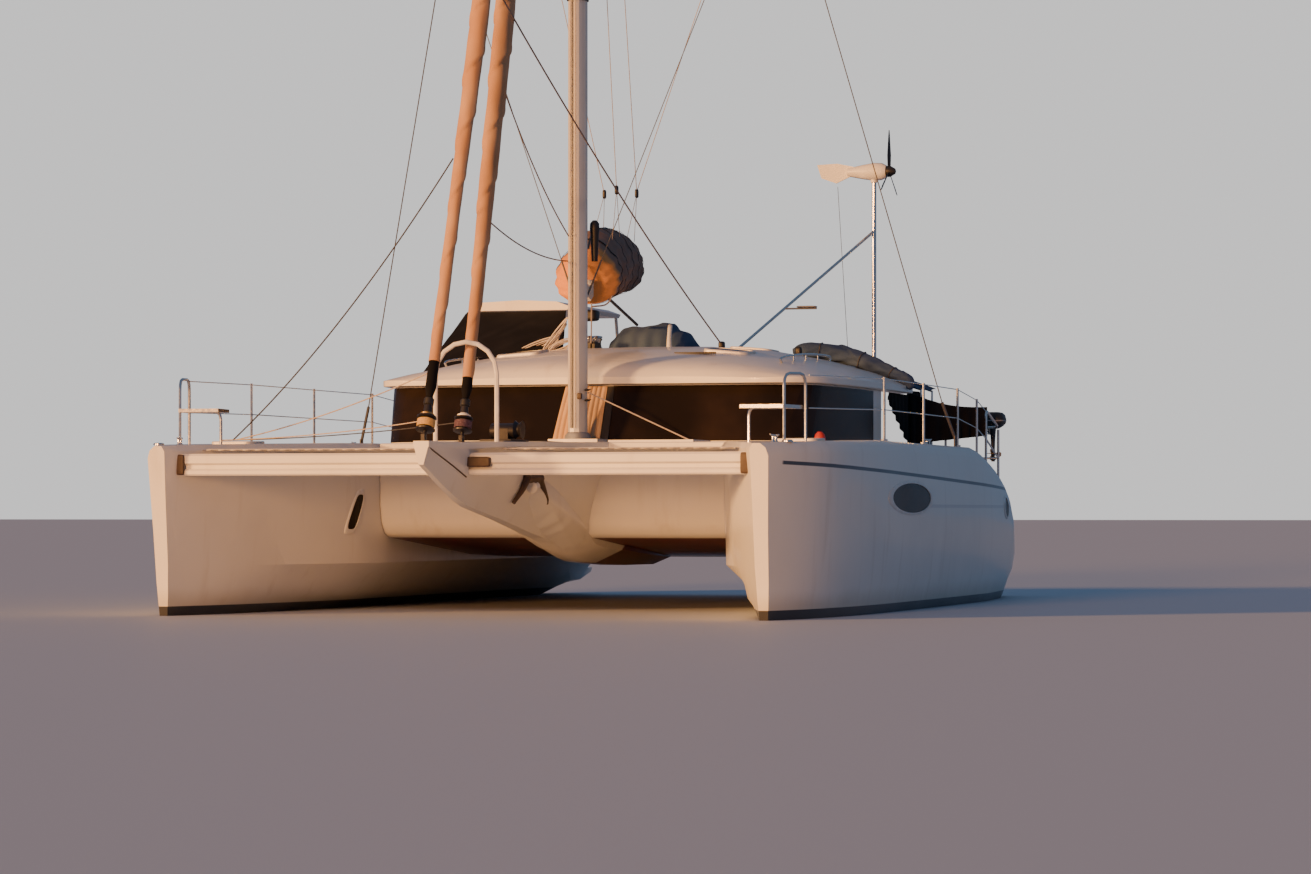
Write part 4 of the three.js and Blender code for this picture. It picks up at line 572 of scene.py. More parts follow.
# Nodes whose shape stays, with their finish, material slot, body and edge rounding
KEPT = [
    ("hull_port", HULL, "gelcoat", "boat", 0.006),
    ("hull_starboard", HULL, "gelcoat", "boat", 0.006),
    ("bridgedeck", BRIDGE, "gelcoat", "boat", 0.015),
    ("centre_nacelle", SPINE, "gelcoat", "boat", None),
    ("cabin_front", GELCOAT, "gelcoat", "boat", 0.006),
    ("cabin_side_port", GELCOAT, "gelcoat", "boat", 0.006),
    ("cabin_side_starboard", GELCOAT, "gelcoat", "boat", 0.006),
    ("cabin_aft", GELCOAT, "gelcoat", "boat", 0.006),
    ("cabin_roof", GELCOAT, "gelcoat", "boat", 0.006),
    ("window_band_port", PANE, "glass", "boat", None),
    ("window_band_starboard", PANE, "glass", "boat", None),
    ("saloon_door", PANE, "glass", "door", 0.003),
    ("keel_port", BOTTOM, "antifouling", "boat", 0.01),
    ("keel_starboard", BOTTOM, "antifouling", "boat", 0.01),
    ("rudder_port", BOTTOM, "antifouling", "rudder_port", None),
    ("rudder_starboard", BOTTOM, "antifouling", "rudder_starboard", None),
    ("saildrive_port", SPAR, "aluminium", "boat", None),
    ("saildrive_starboard", SPAR, "aluminium", "boat", None),
    ("propeller_port", BRONZE, "bronze", "propeller_port", None),
    ("propeller_starboard", BRONZE, "bronze", "propeller_starboard", None),
    ("crossbeam", GELCOAT, "aluminium", "boat", 0.004),
    ("mast", SPAR, "aluminium", "boat", None),
    ("boom", SPAR, "aluminium", "boom_and_bag", 0.008),
    ("furler_drum_outer", DRUM, "aluminium", "boat", None),
    ("furler_drum_inner", DRUM, "aluminium", "boat", None),
    ("pulpit_port", STEEL, "steel", "boat", None),
    ("pulpit_starboard", STEEL, "steel", "boat", None),
    ("bow_hoop", WHITE, "steel", "boat", None),
    ("guardrail_port", STEEL, "steel", "boat", None),
    ("guardrail_starboard", STEEL, "steel", "boat", None),
    ("shroud_port", WIRE, "steel", "boat", None),
    ("shroud_starboard", WIRE, "steel", "boat", None),
    ("canopy_frame", STEEL, "steel", "boat", None),
    ("helm_wheel", STEEL, "steel", "wheel", None),
    ("wind_pole", STEEL, "steel", "boat", None),
    ("anchor_windlass", DRUM, "steel", "boat", 0.004),
    ("swim_ladder", STEEL, "steel", "ladder", None),
    ("helm_console", GELCOAT, "gelcoat", "boat", 0.015),
    ("helm_top", GELCOAT, "gelcoat", "boat", 0.008),
    ("locker_lid_port", GELCOAT, "gelcoat", "lid_port", 0.006),
    ("locker_lid_starboard", GELCOAT, "gelcoat", "lid_starboard", 0.006),
    ("wind_head", WHITE, "gelcoat", "wind_head", None),
    ("wind_rotor", BLACK, "plastic", "wind_rotor", None),
    ("saloon_table", WOOD, "wood", "boat", 0.004),
    ("cockpit_table", WOOD, "wood", "boat", 0.004),
]
for row in KEPT:
    refined(*row)


# Places on the boat
def at(x, distance, z):
    """Point given from port, aft of the stems and up."""
    return np.array([x, aft(distance), z], float)


ROOF_ROWS = np.array([  # aft of the stems, half width, edge, crown
    [4.085, 1.70, 2.238, 2.262],
    [4.125, 1.96, 2.246, 2.320],
    [4.260, 2.17, 2.250, 2.400],
    [4.420, 2.25, 2.252, 2.445],
    [5.200, 2.34, 2.258, 2.570],
    [6.400, 2.39, 2.262, 2.650],
    [8.000, 2.39, 2.262, 2.630],
])


def roof_top(x, distance):
    """Height of the roof's upper face."""
    half, edge, crown = [np.interp(distance, ROOF_ROWS[:, 0], ROOF_ROWS[:, i]) for i in (1, 2, 3)]
    return edge + (crown - edge) * (1 - np.minimum(np.abs(x) / half, 1) ** 3)


def on_roof(x, distance, lift=0.0):
    """Point on the roof's upper face."""
    return at(x, distance, roof_top(x, distance) + lift)


def surface_of(node):
    """Search tree over a frame node's faces."""
    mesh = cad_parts[node].data
    return BVHTree.FromPolygons([v.co for v in mesh.vertices], [p.vertices for p in mesh.polygons])


def hit(tree, start, direction):
    """Point and outward normal where a ray meets a surface."""
    place, normal, _, _ = tree.ray_cast(Vector(start), Vector(direction))
    return np.array(place), np.array(normal)


HULL_TREE = surface_of("hull_port")


def deck_height(x, distance):
    """Height of the port hull's deck."""
    return hit(HULL_TREE, at(x, distance, 2.0), (0, 0, -1))[0][2]


def cloth(obj, thickness=0.003):
    """Gives a one-sided sheet its thickness."""
    modifier = obj.modifiers.new("thickness", "SOLIDIFY")
    modifier.thickness = thickness
    modifier.offset = 0
    return obj


def ripple(seed, u, v, size):
    """Smooth waves in two directions: five sine products whose lengths and phases come from the seed."""
    random = np.random.default_rng(seed)
    total = 0
    for k in range(1, 6):
        a, b = random.uniform(0.6, 1.6, 2) * k
        p, q = random.uniform(0, 2 * np.pi, 2)
        total = total + np.sin(2 * np.pi * a * u + p) * np.sin(2 * np.pi * b * v + q) / k
    return size * total / 2


# Furled headsails: cloth wound round each stay, thickest above the clew
STAY_HEAD_AFT = 3.642
STAYS = {  # tack, head, height of the sail's dark foot, radius at distances up the stay
    "outer": (at(0, -0.69, 1.55), at(0, STAY_HEAD_AFT, 12.65), 0.74,
              [(0.74, 0.050), (2.2, 0.056), (3.9, 0.084), (5.4, 0.088), (7.4, 0.070), (10.7, 0.040),
               (11.35, 0.018)]),
    "inner": (at(0, 0.30, 1.556), at(0, STAY_HEAD_AFT, 12.35), 0.60,
              [(0.60, 0.050), (1.2, 0.056), (2.6, 0.080), (3.9, 0.093), (5.4, 0.098), (7.0, 0.078),
               (10.1, 0.044), (10.75, 0.018)]),
}
LAP_PITCH = 0.62  # distance up the stay that one turn of the cloth takes


def wound_cloth(tack, axis, dark_end, radii):
    """Cloth round a stay in a spiral: its radius grows over each lap, with puckers and a raised edge."""
    side = np.array([1.0, 0, 0])
    second = np.cross(axis, side)
    distance = np.linspace(dark_end, radii[-1][0], 420)[:, None]
    angle = circle(44)[None]
    radius = np.interp(distance, *np.array(radii).T)
    lap = (angle / (2 * np.pi) - distance / LAP_PITCH) % 1
    edge = np.exp(-(((lap - 0.93) / 0.05) ** 2)) * 0.05
    pucker = 0.03 * np.sin(angle * 2 + distance * 9) * np.sin(distance * 5.3 + angle)
    radius = radius * (0.93 + 0.12 * lap + edge + pucker)
    ring = np.cos(angle)[..., None] * side + np.sin(angle)[..., None] * second
    points = tack + distance[..., None] * axis + radius[..., None] * ring
    return sheet_shape(points, wrap_columns=True, caps=True)


for name, (tack, head, dark_end, radii) in STAYS.items():
    node = "furled_sail_" + name
    axis = (head - tack) / np.linalg.norm(head - tack)
    top = radii[-1][0]
    sail = piece(node + "_wound", wound_cloth(tack, axis, dark_end, radii), SAIL_COVER, "boat", [node],
                 "sail_cover", sharp=60)
    foot = [(0.028, 0.335), (0.030, 0.42), (0.048, 0.50), (0.046, dark_end + 0.02), (0.03, dark_end + 0.06)]
    piece(node + "_tack", turned(foot, tack, axis), DARK_CANVAS, slot="dark_canvas")
    swivel = [(0.010, top - 0.1), (0.034, top - 0.05), (0.034, top + 0.06), (0.010, top + 0.12)]
    piece(node + "_swivel", turned(swivel, tack, axis, 16), STEEL, slot="steel")
    piece(node + "_stay", straight(tack + axis * (top + 0.1), head, 0.008, 8), WIRE, slot="steel")

# Boom frame: u along the boom, v across to port, w up
PIVOT = at(0, 4.0, 3.10)
BOOM_LIFT = math.radians(5)
BOOM_SWING = math.radians(12)


def on_boom(u, v, w):
    """Points along, across and above the boom, which is lifted and swung to starboard about its pivot."""
    u, v, w = np.broadcast_arrays(u, v, w)
    y = u * math.cos(BOOM_LIFT) - w * math.sin(BOOM_LIFT)
    z = u * math.sin(BOOM_LIFT) + w * math.cos(BOOM_LIFT)
    across = v * math.cos(BOOM_SWING) - y * math.sin(BOOM_SWING)
    back = v * math.sin(BOOM_SWING) + y * math.cos(BOOM_SWING)
    return PIVOT + np.stack([across, back, z], axis=-1)


# Sail bag: lumpy canvas over the stacked mainsail, its skirt round the boom
BAG_ROWS = np.array([  # along the boom, half width, lowest, highest
    [0.13, 0.19, -0.135, 0.25],
    [0.22, 0.30, -0.140, 0.36],
    [0.50, 0.335, -0.140, 0.47],
    [1.00, 0.305, -0.135, 0.58],
    [2.40, 0.295, -0.135, 0.57],
    [3.80, 0.285, -0.135, 0.50],
    [4.56, 0.23, -0.135, 0.39],
    [4.78, 0.14, -0.135, 0.27],
])
STRAPS = (0.55, 1.45, 2.40, 3.30, 4.15)  # along the boom
STRAP_HALF = 0.02


def bag_section(u):
    """Half width, lowest and highest level of the bag at a place along the boom."""
    return [np.interp(u, BAG_ROWS[:, 0], BAG_ROWS[:, column]) for column in (1, 2, 3)]


def bag_point(u, turn, lift=0.0):
    """Bag's skin at a place along the boom and round it: swells between straps, sail layers as ridges."""
    half, low, high = bag_section(u)
    swell = 1 + 0.10 * np.abs(np.sin(u * np.pi / 0.92)) ** 0.7 + 0.05 * np.sin(u * 7.1)
    level = (np.sin(turn) + 1) / 2
    layers = 1 + 0.035 * np.sin(level * 34 + 2.2 * np.sin(u * 1.7))
    wide = signed_power(np.cos(turn), 0.8) * (1 - 0.35 * level**3)
    v = half * wide * swell * layers * 0.93 + ripple(3, u / 2.2, turn / 6.283, 0.014) + lift * np.cos(turn)
    w = low + (high - low) * level + ripple(5, u / 1.9, turn / 6.283, 0.020) * level + lift * np.sin(turn)
    return on_boom(u, v, w)


turn = circle(72)[None]
along = np.linspace(BAG_ROWS[0, 0], BAG_ROWS[-1, 0], 150)[:, None]
bag = piece("sail_bag_stuffed", sheet_shape(bag_point(along, turn), wrap_columns=True, caps=True), BAG,
            "boom_and_bag", ["sail_bag"], "sail_cover", sharp=70)
for i, middle in enumerate(STRAPS):
    reach = np.linspace(middle - STRAP_HALF, middle + STRAP_HALF, 3)[:, None]
    belt = sheet_shape(bag_point(reach, turn, 0.008), wrap_columns=True)
    strap = cloth(piece(f"bag_strap_{i}", belt, DARK_CANVAS, "boom_and_bag", slot="dark_canvas",
                        closed=False))

# Cockpit canopy: cloth over three hoops, sagging between them
HOOPS = (8.13, 8.67, 9.24)
CANOPY_FRONT = 8.04
CANOPY_BACK = 9.30
SEAM_HALF = 0.03
x = np.linspace(-0.88, 2.36, 90)[:, None]
distance = np.linspace(CANOPY_FRONT, CANOPY_BACK, 60)[None]
crown = 2.278 + 0.32 * (1 - np.minimum(np.abs(x - 0.3) / 2.06, 1) ** 2.6)
bay = np.interp(distance, [CANOPY_FRONT, *HOOPS, CANOPY_BACK], [0, 0, 1, 2, 2])
sag = 0.026 * np.sin(np.pi * (bay % 1)) ** 2
height = crown - sag + ripple(8, x / 1.4, distance / 0.8, 0.003)
canopy_points = np.stack(np.broadcast_arrays(x, aft(distance), height), axis=-1)
canopy = cloth(piece("cockpit_canopy_cloth", sheet_shape(canopy_points), CANVAS, "boat", ["cockpit_canopy"],
                     "canvas", sharp=60, closed=False))
for i, hoop in enumerate(HOOPS):
    columns = [np.argmin(np.abs(distance[0] - hoop + step)) for step in (SEAM_HALF, -SEAM_HALF)]
    band = np.stack([canopy_points[:, column] for column in columns])
    band[..., 2] += 0.004
    seam = cloth(piece(f"canopy_seam_{i}", sheet_shape(band), DARK_CANVAS, slot="dark_canvas", closed=False))

# Rolled canvas across the roof, its loose end hanging over the roof edge
ROLL_STEPS = 110
roll_line = smooth_path([
    on_roof(1.15, 7.72, 0.05), on_roof(1.32, 7.76, 0.085), on_roof(1.62, 7.80, 0.095),
    on_roof(1.92, 7.80, 0.08), on_roof(2.16, 7.78, 0.065), at(2.36, 7.74, 2.33), at(2.44, 7.70, 2.24),
], ROLL_STEPS)
share = np.linspace(0, 1, ROLL_STEPS)[:, None]
thick = np.interp(share, [0, 0.12, 0.3, 0.5, 0.75, 0.9, 1], [0.03, 0.085, 0.105, 0.095, 0.075, 0.07, 0.03])
turn = circle(48)[None]
lap = (turn / (2 * np.pi) - share * 2.2) % 1
crease = 0.10 * np.sin(turn * 5 + share * 21) * np.sin(share * 31)
fold = 1 + 0.14 * lap + crease + ripple(21, share * 2, turn / 6.28, 0.10)
_, first, second = along_path(roll_line)
ring = np.cos(turn)[..., None] * first[:, None] + np.sin(turn)[..., None] * second[:, None]
roll_points = roll_line[:, None] + ring * (thick * fold)[..., None] * [1, 1.25, 0.85]
roll = piece("canvas_roll_tied", sheet_shape(roll_points, wrap_columns=True, caps=True), CANVAS, "boat",
             ["canvas_roll"], "canvas", sharp=65)
for i, index in enumerate((26, 52, 78)):
    tie = roll_line[index] + (roll_points[index] - roll_line[index]) * 1.05
    piece(f"canvas_tie_{i}", tube(np.vstack([tie, tie[:2]]), 0.006), DARK_ROPE, slot="dark_canvas")


# Dark cloths on the port quarter
def curtain(name, top, bottom, stands_for, folds, depth, across, seed):
    """Cloth between a top and a bottom line, with upright folds that grow downwards."""
    rows = np.linspace(0, 1, 26)[:, None, None]
    run = np.linspace(0, 1, len(top))[None, :, None]
    wave = np.sin(run * 2 * np.pi * folds + np.sin(run * 9)) * depth * (0.25 + rows)
    off = (wave + ripple(seed, run, rows * 0.7, depth * 0.8)) * np.array(across)
    points = between(top, bottom, rows) + off
    made = cloth(piece(name, sheet_shape(points), DARK_CANVAS, "boat", stands_for, "dark_canvas", sharp=70,
                       closed=False))


distance = np.linspace(7.09, 9.27, 130)
upper_z = np.interp(distance, [7.09, 7.15, 8.01, 8.08, 8.60, 9.00, 9.27],
                    [2.125, 2.18, 2.18, 2.225, 2.232, 2.15, 2.11])
lower_z = np.interp(distance, [7.09, 8.08, 9.27], [2.10, 1.64, 1.64])
upper = np.column_stack([np.full(130, 2.322), aft(distance), upper_z])
lower = np.column_stack([np.full(130, 2.325), aft(distance), lower_z])
curtain("shade_cloth_hung", upper, lower, ["shade_cloth"], 13, 0.010, (1, 0, 0), 1)
share = np.linspace(0, 1, 60)[:, None]
droop = 0.05 * np.sin(np.pi * share) * [0, 0, 1]
upper = between(at(2.335, 8.10, 2.20), at(2.99, 8.98, 2.07), share) - droop
lower = between(at(2.34, 8.10, 1.66), at(2.99, 8.98, 1.76), share)
curtain("quarter_curtain", upper, lower, [], 7, 0.016, (0.8, -0.6, 0), 4)


# Helm windscreen: a dark panel that leans back from the roof to the hard top, and its side
def windscreen_panel(top, bottom, seed, depth, facing):
    """Cloth between two lines, with soft waves that die out at both."""
    share = np.linspace(0, 1, len(bottom))[None, :, None]
    rows = np.linspace(0, 1, 50)[:, None, None]
    off = ripple(seed, share, rows, depth) * np.sin(np.pi * rows) * np.array(facing)
    return between(top, bottom, rows) + off


share = np.linspace(0, 1, 70)
corner = at(-2.235, 6.96, 3.068)
top = np.linspace(corner, at(-1.13, 6.96, 3.068), 70)
foot_x = np.interp(share, [0, 0.5, 1], [-2.255, -1.70, -0.95])
foot_aft = np.interp(share, [0, 0.5, 1], [5.45, 5.90, 6.28])
foot = np.column_stack([foot_x, aft(foot_aft), roof_top(foot_x, foot_aft) + 0.006])
front = windscreen_panel(top, foot, 11, 0.010, (0, -0.8, 0.6))
side_foot = np.linspace(at(-2.255, 5.45, 2.268), at(-2.29, 6.85, 2.268), 70)
side = windscreen_panel(corner - [0.004, 0, 0], side_foot, 13, 0.008, (1, 0, 0))
panels = [sheet_shape(front), sheet_shape(side[1:])]
screen = cloth(piece("helm_windscreen_cloth", panels, DARK_CANVAS, "boat", ["helm_windscreen"],
                     "dark_canvas", sharp=70, closed=False), 0.004)

# Canvas hood on the roof
HOOD_ROWS = np.array([  # place across, height above the roof there
    [-0.60, 0.13], [-0.50, 0.24], [-0.10, 0.29], [0.02, 0.28], [0.06, 0.215], [0.17, 0.19], [0.225, 0.09],
])
x = np.linspace(HOOD_ROWS[0, 0], HOOD_ROWS[-1, 0], 80)[:, None]
turn = np.linspace(0, np.pi, 40)[None]
tall = np.interp(x, HOOD_ROWS[:, 0], HOOD_ROWS[:, 1])
crease = ripple(31, x * 1.2, turn / 3.14, 0.016) * np.sin(turn)
distance = 7.10 - 0.35 * np.cos(turn) * (1 - 0.03 * np.sin(x * 40))
height = 2.638 + (tall + crease) * np.sin(turn)
hood_points = np.stack(np.broadcast_arrays(x, aft(distance), height), axis=-1)
underside = hood_points[:, ::-1] * [1, 1, 0] + [0, 0, 2.632]
hood_shape = sheet_shape(np.concatenate([hood_points, underside], axis=1), wrap_columns=True, caps=True)
hood = piece("roof_hood_cloth", hood_shape, CANVAS, "boat", ["roof_hood"], "canvas", sharp=60)

# Pleated tan cover between the front windows, behind the mast, with a dark seal on either side
rows = np.linspace(0, 1, 24)[:, None]
across = np.linspace(0, 1, 120)[None]
left = -0.318 + 0.064 * rows
right = 0.163 + 0.012 * rows
pleat = np.abs(np.sin(np.pi * 9 * across + 0.5 * np.sin(rows * 3))) * 0.014
pillar_points = np.stack(np.broadcast_arrays(
    left + (right - left) * across, aft(3.952 + 0.225 * rows) - pleat, 1.652 + 0.52 * rows), axis=-1)
pillar = cloth(piece("pillar_cover", sheet_shape(pillar_points), PILLAR_CLOTH, slot="sail_cover", sharp=75,
                     closed=False), 0.002)
for name, x0, x1 in (("port", 0.166, 0.245), ("starboard", -0.245, -0.166)):
    ring = np.array([at(x0, 3.955, 1.64), at(x1, 3.955, 1.64), at(x1, 4.178, 2.17), at(x0, 4.178, 2.17)])
    seal = sheet_shape(np.stack([ring, ring + [0, 0.012, 0]]), wrap_columns=True, caps=True)
    piece("window_seal_" + name, seal, BLACK, slot="plastic")

# Trampolines: knotted netting laced to the beam, the hulls and the spine
NET_FRONT = 0.42
NET_BACK = 2.90
NET_PITCH = 0.05


def net_edges(distance):
    """Inner and outer edge of the port net."""
    inner = np.interp(distance, [0.37, 0.40, 1.2, 2.12, 2.6, 2.95], [0.31, 0.33, 0.33, 0.34, 0.43, 0.56])
    outer = 2.8 - np.interp(distance, [0, 0.35, 1.1, 2.0, 2.95], [0.082, 0.25, 0.56, 0.88, 1.051])
    return inner + 0.045, outer - 0.045


def net_point(share, distance):
    """Point of the net, by its share of the way across, with a slight sag."""
    inner, outer = net_edges(distance)
    reach = (distance - NET_FRONT) / (NET_BACK - NET_FRONT)
    sag = 0.009 * np.sin(np.pi * np.clip(share, 0, 1)) * np.sin(np.pi * np.clip(reach, 0, 1))
    x, y, z = np.broadcast_arrays(inner + (outer - inner) * share, aft(distance), 1.499 - sag)
    return np.stack([x, y, z], axis=-1)


lengthways = np.linspace(NET_FRONT, NET_BACK, 26)
strands = [tube(net_point(share, lengthways), 0.0042, 4) for share in np.linspace(0, 1, 35)]
for distance in np.arange(NET_FRONT, NET_BACK + 0.001, NET_PITCH):
    strands.append(tube(net_point(np.linspace(0, 1, 14), distance), 0.0042, 4))
lengthways = np.linspace(NET_FRONT, NET_BACK, 30)
crossways = np.linspace(0, 1, 20)
border = np.concatenate([net_point(0, lengthways), net_point(crossways, NET_BACK),
                         net_point(1, lengthways[::-1]), net_point(crossways[::-1], NET_FRONT)])
steps = np.linalg.norm(np.diff(border, axis=0, append=border[:1]), axis=1)
strands.append(tube(border[steps > 1e-4], 0.010, 6))
lacing = []
for edge, reach in ((0, -0.044), (1, 0.044)):
    path = net_point(edge, np.arange(NET_FRONT, NET_BACK, 0.055))
    path[::2, 0] += reach
    lacing.append(tube(path, 0.003, 4))
for distance, reach in ((NET_FRONT, -0.046), (NET_BACK, 0.046)):
    path = net_point(np.linspace(0, 1, 36), distance)
    path[::2, 1] += reach
    lacing.append(tube(path, 0.003, 4))
for side, shapes in (("port", strands), ("starboard", [mirrored(shape) for shape in strands])):
    net = piece("net_" + side, shapes, NET, "boat", ["trampoline_" + side], "net")
on_both_sides("net_lacing", lacing, PALE_ROPE, slot="net")


# Upholstery and the moulded bases under it
def cushion(name, low, high, seed):
    """Cushion filling a box: a puffed superellipsoid with a welt along its upper and lower edge."""
    points, faces = soft_box(low, high, 7, 22, 72)
    middle = (low + high) / 2
    half = (high - low) / 2
    thin = int(np.argmin(half))
    wide, deep = [axis for axis in range(3) if axis != thin]
    u, v, w = ((points - middle) / half).T
    outwards = np.max(np.abs(np.delete(np.stack([u, v, w]), thin, axis=0)), axis=0)
    swell = np.clip(1 - outwards**3, 0, 1)
    lift = (0.10 * swell - 0.05) * half[thin] + ripple(seed, u, v + w, 0.012) * swell
    points[:, thin] = middle[thin] + (points[:, thin] - middle[thin]) * (0.92 + lift / half[thin] * 0.6)
    angle = circle(96)
    welts = []
    for level in (-0.62, 0.62):
        ring = np.tile(middle, (97, 1))
        ring[:, wide] += np.append(signed_power(np.cos(angle), 2 / 7), 1) * half[wide] * 0.992
        ring[:, deep] += np.append(signed_power(np.sin(angle), 2 / 7), 0) * half[deep] * 0.992
        ring[:, thin] += level * half[thin]
        welts.append(tube(ring, 0.0045, 5))
    made = piece(name, (points, faces), UPHOLSTERY, slot="upholstery", sharp=70)
    piece(name + "_welt", welts, GREY, slot="upholstery")


def moulding(name, low, high, stands_for=()):
    """Moulded block with rounded edges."""
    piece(name, soft_box(low, high, 18, 20, 48), GELCOAT, "boat", stands_for, "gelcoat", sharp=50)


moulding("helm_seat_base", at(-1.69, 8.25, 1.252), at(-1.14, 8.76, 1.695), ["helm_seat"])
cushion("helm_seat_cushion", at(-1.70, 8.22, 1.693), at(-1.12, 8.74, 1.795), 2)
cushion("helm_seat_back", at(-1.70, 8.745, 1.76), at(-1.12, 8.83, 2.18), 3)
moulding("cockpit_seat_side", at(1.15, 7.5, 0.822), at(1.749, 9.65, 1.135), ["cockpit_seats"])
moulding("cockpit_seat_cross", at(-0.80, 9.06, 0.822), at(1.16, 9.65, 1.135))
for i in range(3):
    start = 7.51 + 0.51 * i
    cushion(f"cockpit_cushion_side_{i}", at(1.155, start, 1.13), at(1.745, start + 0.50, 1.232), 10 + i)
for i in range(3):
    start = -0.79 + 0.645 * i
    cushion(f"cockpit_cushion_cross_{i}", at(start, 9.07, 1.13), at(start + 0.635, 9.64, 1.232), 20 + i)
moulding("settee_seat_base", at(-1.69, 4.88, 0.822), at(1.69, 5.30, 1.14), ["saloon_settee"])
moulding("settee_arm_base", at(1.15, 5.28, 0.822), at(1.69, 6.50, 1.14))
moulding("settee_back_base", at(-1.69, 4.742, 0.822), at(1.69, 4.80, 1.55))
for i in range(5):
    start = -1.68 + 0.672 * i
    cushion(f"settee_cushion_{i}", at(start, 4.87, 1.135), at(start + 0.662, 5.30, 1.24), 30 + i)
    cushion(f"settee_back_{i}", at(start, 4.80, 1.24), at(start + 0.662, 4.88, 1.56), 40 + i)
for i in range(2):
    start = 5.31 + 0.595 * i
    cushion(f"settee_arm_cushion_{i}", at(1.155, start, 1.135), at(1.685, start + 0.585, 1.24), 50 + i)

# Outboard motor on the stern rail
low, high = [np.array(corner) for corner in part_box("outboard")]
motor_x = (low[0] + high[0]) / 2
cowl_front = high[1] - 0.32
cowl_back = high[1]
leg_y = cowl_front + 0.095
top_z = high[2]
foot_z = low[2]
COWL_ROWS = np.array([  # height below the top, half width, front, back
    [0.000, 0.055, 0.085, 0.090], [0.006, 0.088, 0.050, 0.060], [0.030, 0.112, 0.022, 0.020],
    [0.075, 0.124, 0.008, 0.004], [0.120, 0.120, 0.012, 0.012], [0.150, 0.096, 0.040, 0.050],
    [0.176, 0.060, 0.070, 0.110], [0.182, 0.040, 0.090, 0.130],
])
LEG_ROWS = [  # height, half width, half depth
    (top_z - 0.17, 0.034, 0.055), (top_z - 0.30, 0.024, 0.044), (top_z - 0.44, 0.018, 0.050),
    (foot_z + 0.06, 0.020, 0.075),
]
GEARCASE = [(0.006, -0.075), (0.022, -0.055), (0.027, 0.0), (0.024, 0.055), (0.010, 0.075)]


def motor_plate(half, front, back, low, high):
    """Plate across the motor's centreline, placed fore and aft of the leg and above the foot."""
    return slab((motor_x - half, leg_y + front, foot_z + low), (motor_x + half, leg_y + back, foot_z + high))


def bracket_point(x, y, down):
    """Point beside the motor's centreline, aft of the cowl's front and below the top."""
    return (motor_x + x, cowl_front + y, top_z - down)


def propeller_blade(angle):
    """Blade at an angle round the shaft: a rounded strip, twisted by its slope across."""
    span = np.linspace(0.018, 0.075, 8)[:, None]
    wide = 0.030 * np.sin(np.pi * np.clip((span - 0.005) / 0.078, 0, 1)) ** 0.6
    u = np.linspace(-1, 1, 8)[None] * wide
    x = span * math.cos(angle) - u * math.sin(angle)
    z = span * math.sin(angle) + u * math.cos(angle)
    return np.stack([x, u * 0.55, z], axis=-1) + [motor_x, leg_y + 0.088, foot_z + 0.078]


turn = circle(40)[None]
front = cowl_front + COWL_ROWS[:, 2:3]
back = cowl_back - COWL_ROWS[:, 3:4]
cowl = np.stack(np.broadcast_arrays(
    motor_x + COWL_ROWS[:, 1:2] * signed_power(np.cos(turn), 0.6),
    (front + back) / 2 + (back - front) / 2 * signed_power(np.sin(turn), 0.6),
    top_z - COWL_ROWS[:, :1]), axis=-1)
turn = circle(20)
leg = np.stack([np.column_stack([motor_x + wide * np.cos(turn), leg_y + deep * np.sin(turn), np.full(20, z)])
                for z, wide, deep in LEG_ROWS])
motor = [
    sheet_shape(cowl, wrap_columns=True, caps=True),
    sheet_shape(leg, wrap_columns=True, caps=True),
    motor_plate(0.055, -0.07, 0.13, 0.085, 0.092),
    turned(GEARCASE, (motor_x, leg_y, foot_z + 0.034), (0, 1, 0), 20),
    motor_plate(0.012, -0.03, 0.05, 0.0, 0.03),
]
piece("outboard_motor", motor, BLACK, "boat", ["outboard"], "plastic", sharp=35)
widest = cowl[3] + (cowl[3] - cowl[3].mean(axis=0)) * [0.012, 0.012, 0]
band = np.stack([widest * [1, 1, 0] + [0, 0, top_z - down] for down in (0.088, 0.100)])
piece("outboard_band", sheet_shape(band, wrap_columns=True), GREY, slot="plastic", closed=False)
bracket = []
for x in (-0.075, -0.02):
    bracket.append(slab(bracket_point(x - 0.008, -0.05, 0.25), bracket_point(x + 0.008, 0.06, 0.16)))
bracket.append(straight(bracket_point(-0.075, -0.03, 0.215), bracket_point(-0.02, -0.03, 0.215), 0.009, 10))
for x in (-0.065, -0.03):
    bracket.append(straight(bracket_point(x, -0.085, 0.235), bracket_point(x, -0.03, 0.235), 0.006, 8))
    bar = [bracket_point(x + reach, -0.088, 0.235) for reach in (-0.018, 0.018)]
    bracket.append(straight(*bar, 0.004, 6))
piece("outboard_bracket", bracket, STEEL, slot="steel", round_by=0.002)
blades = [sheet_shape(propeller_blade(2 * np.pi * k / 3)) for k in range(3)]
cloth(piece("outboard_propeller", blades, GREY, slot="plastic", closed=False), 0.004)


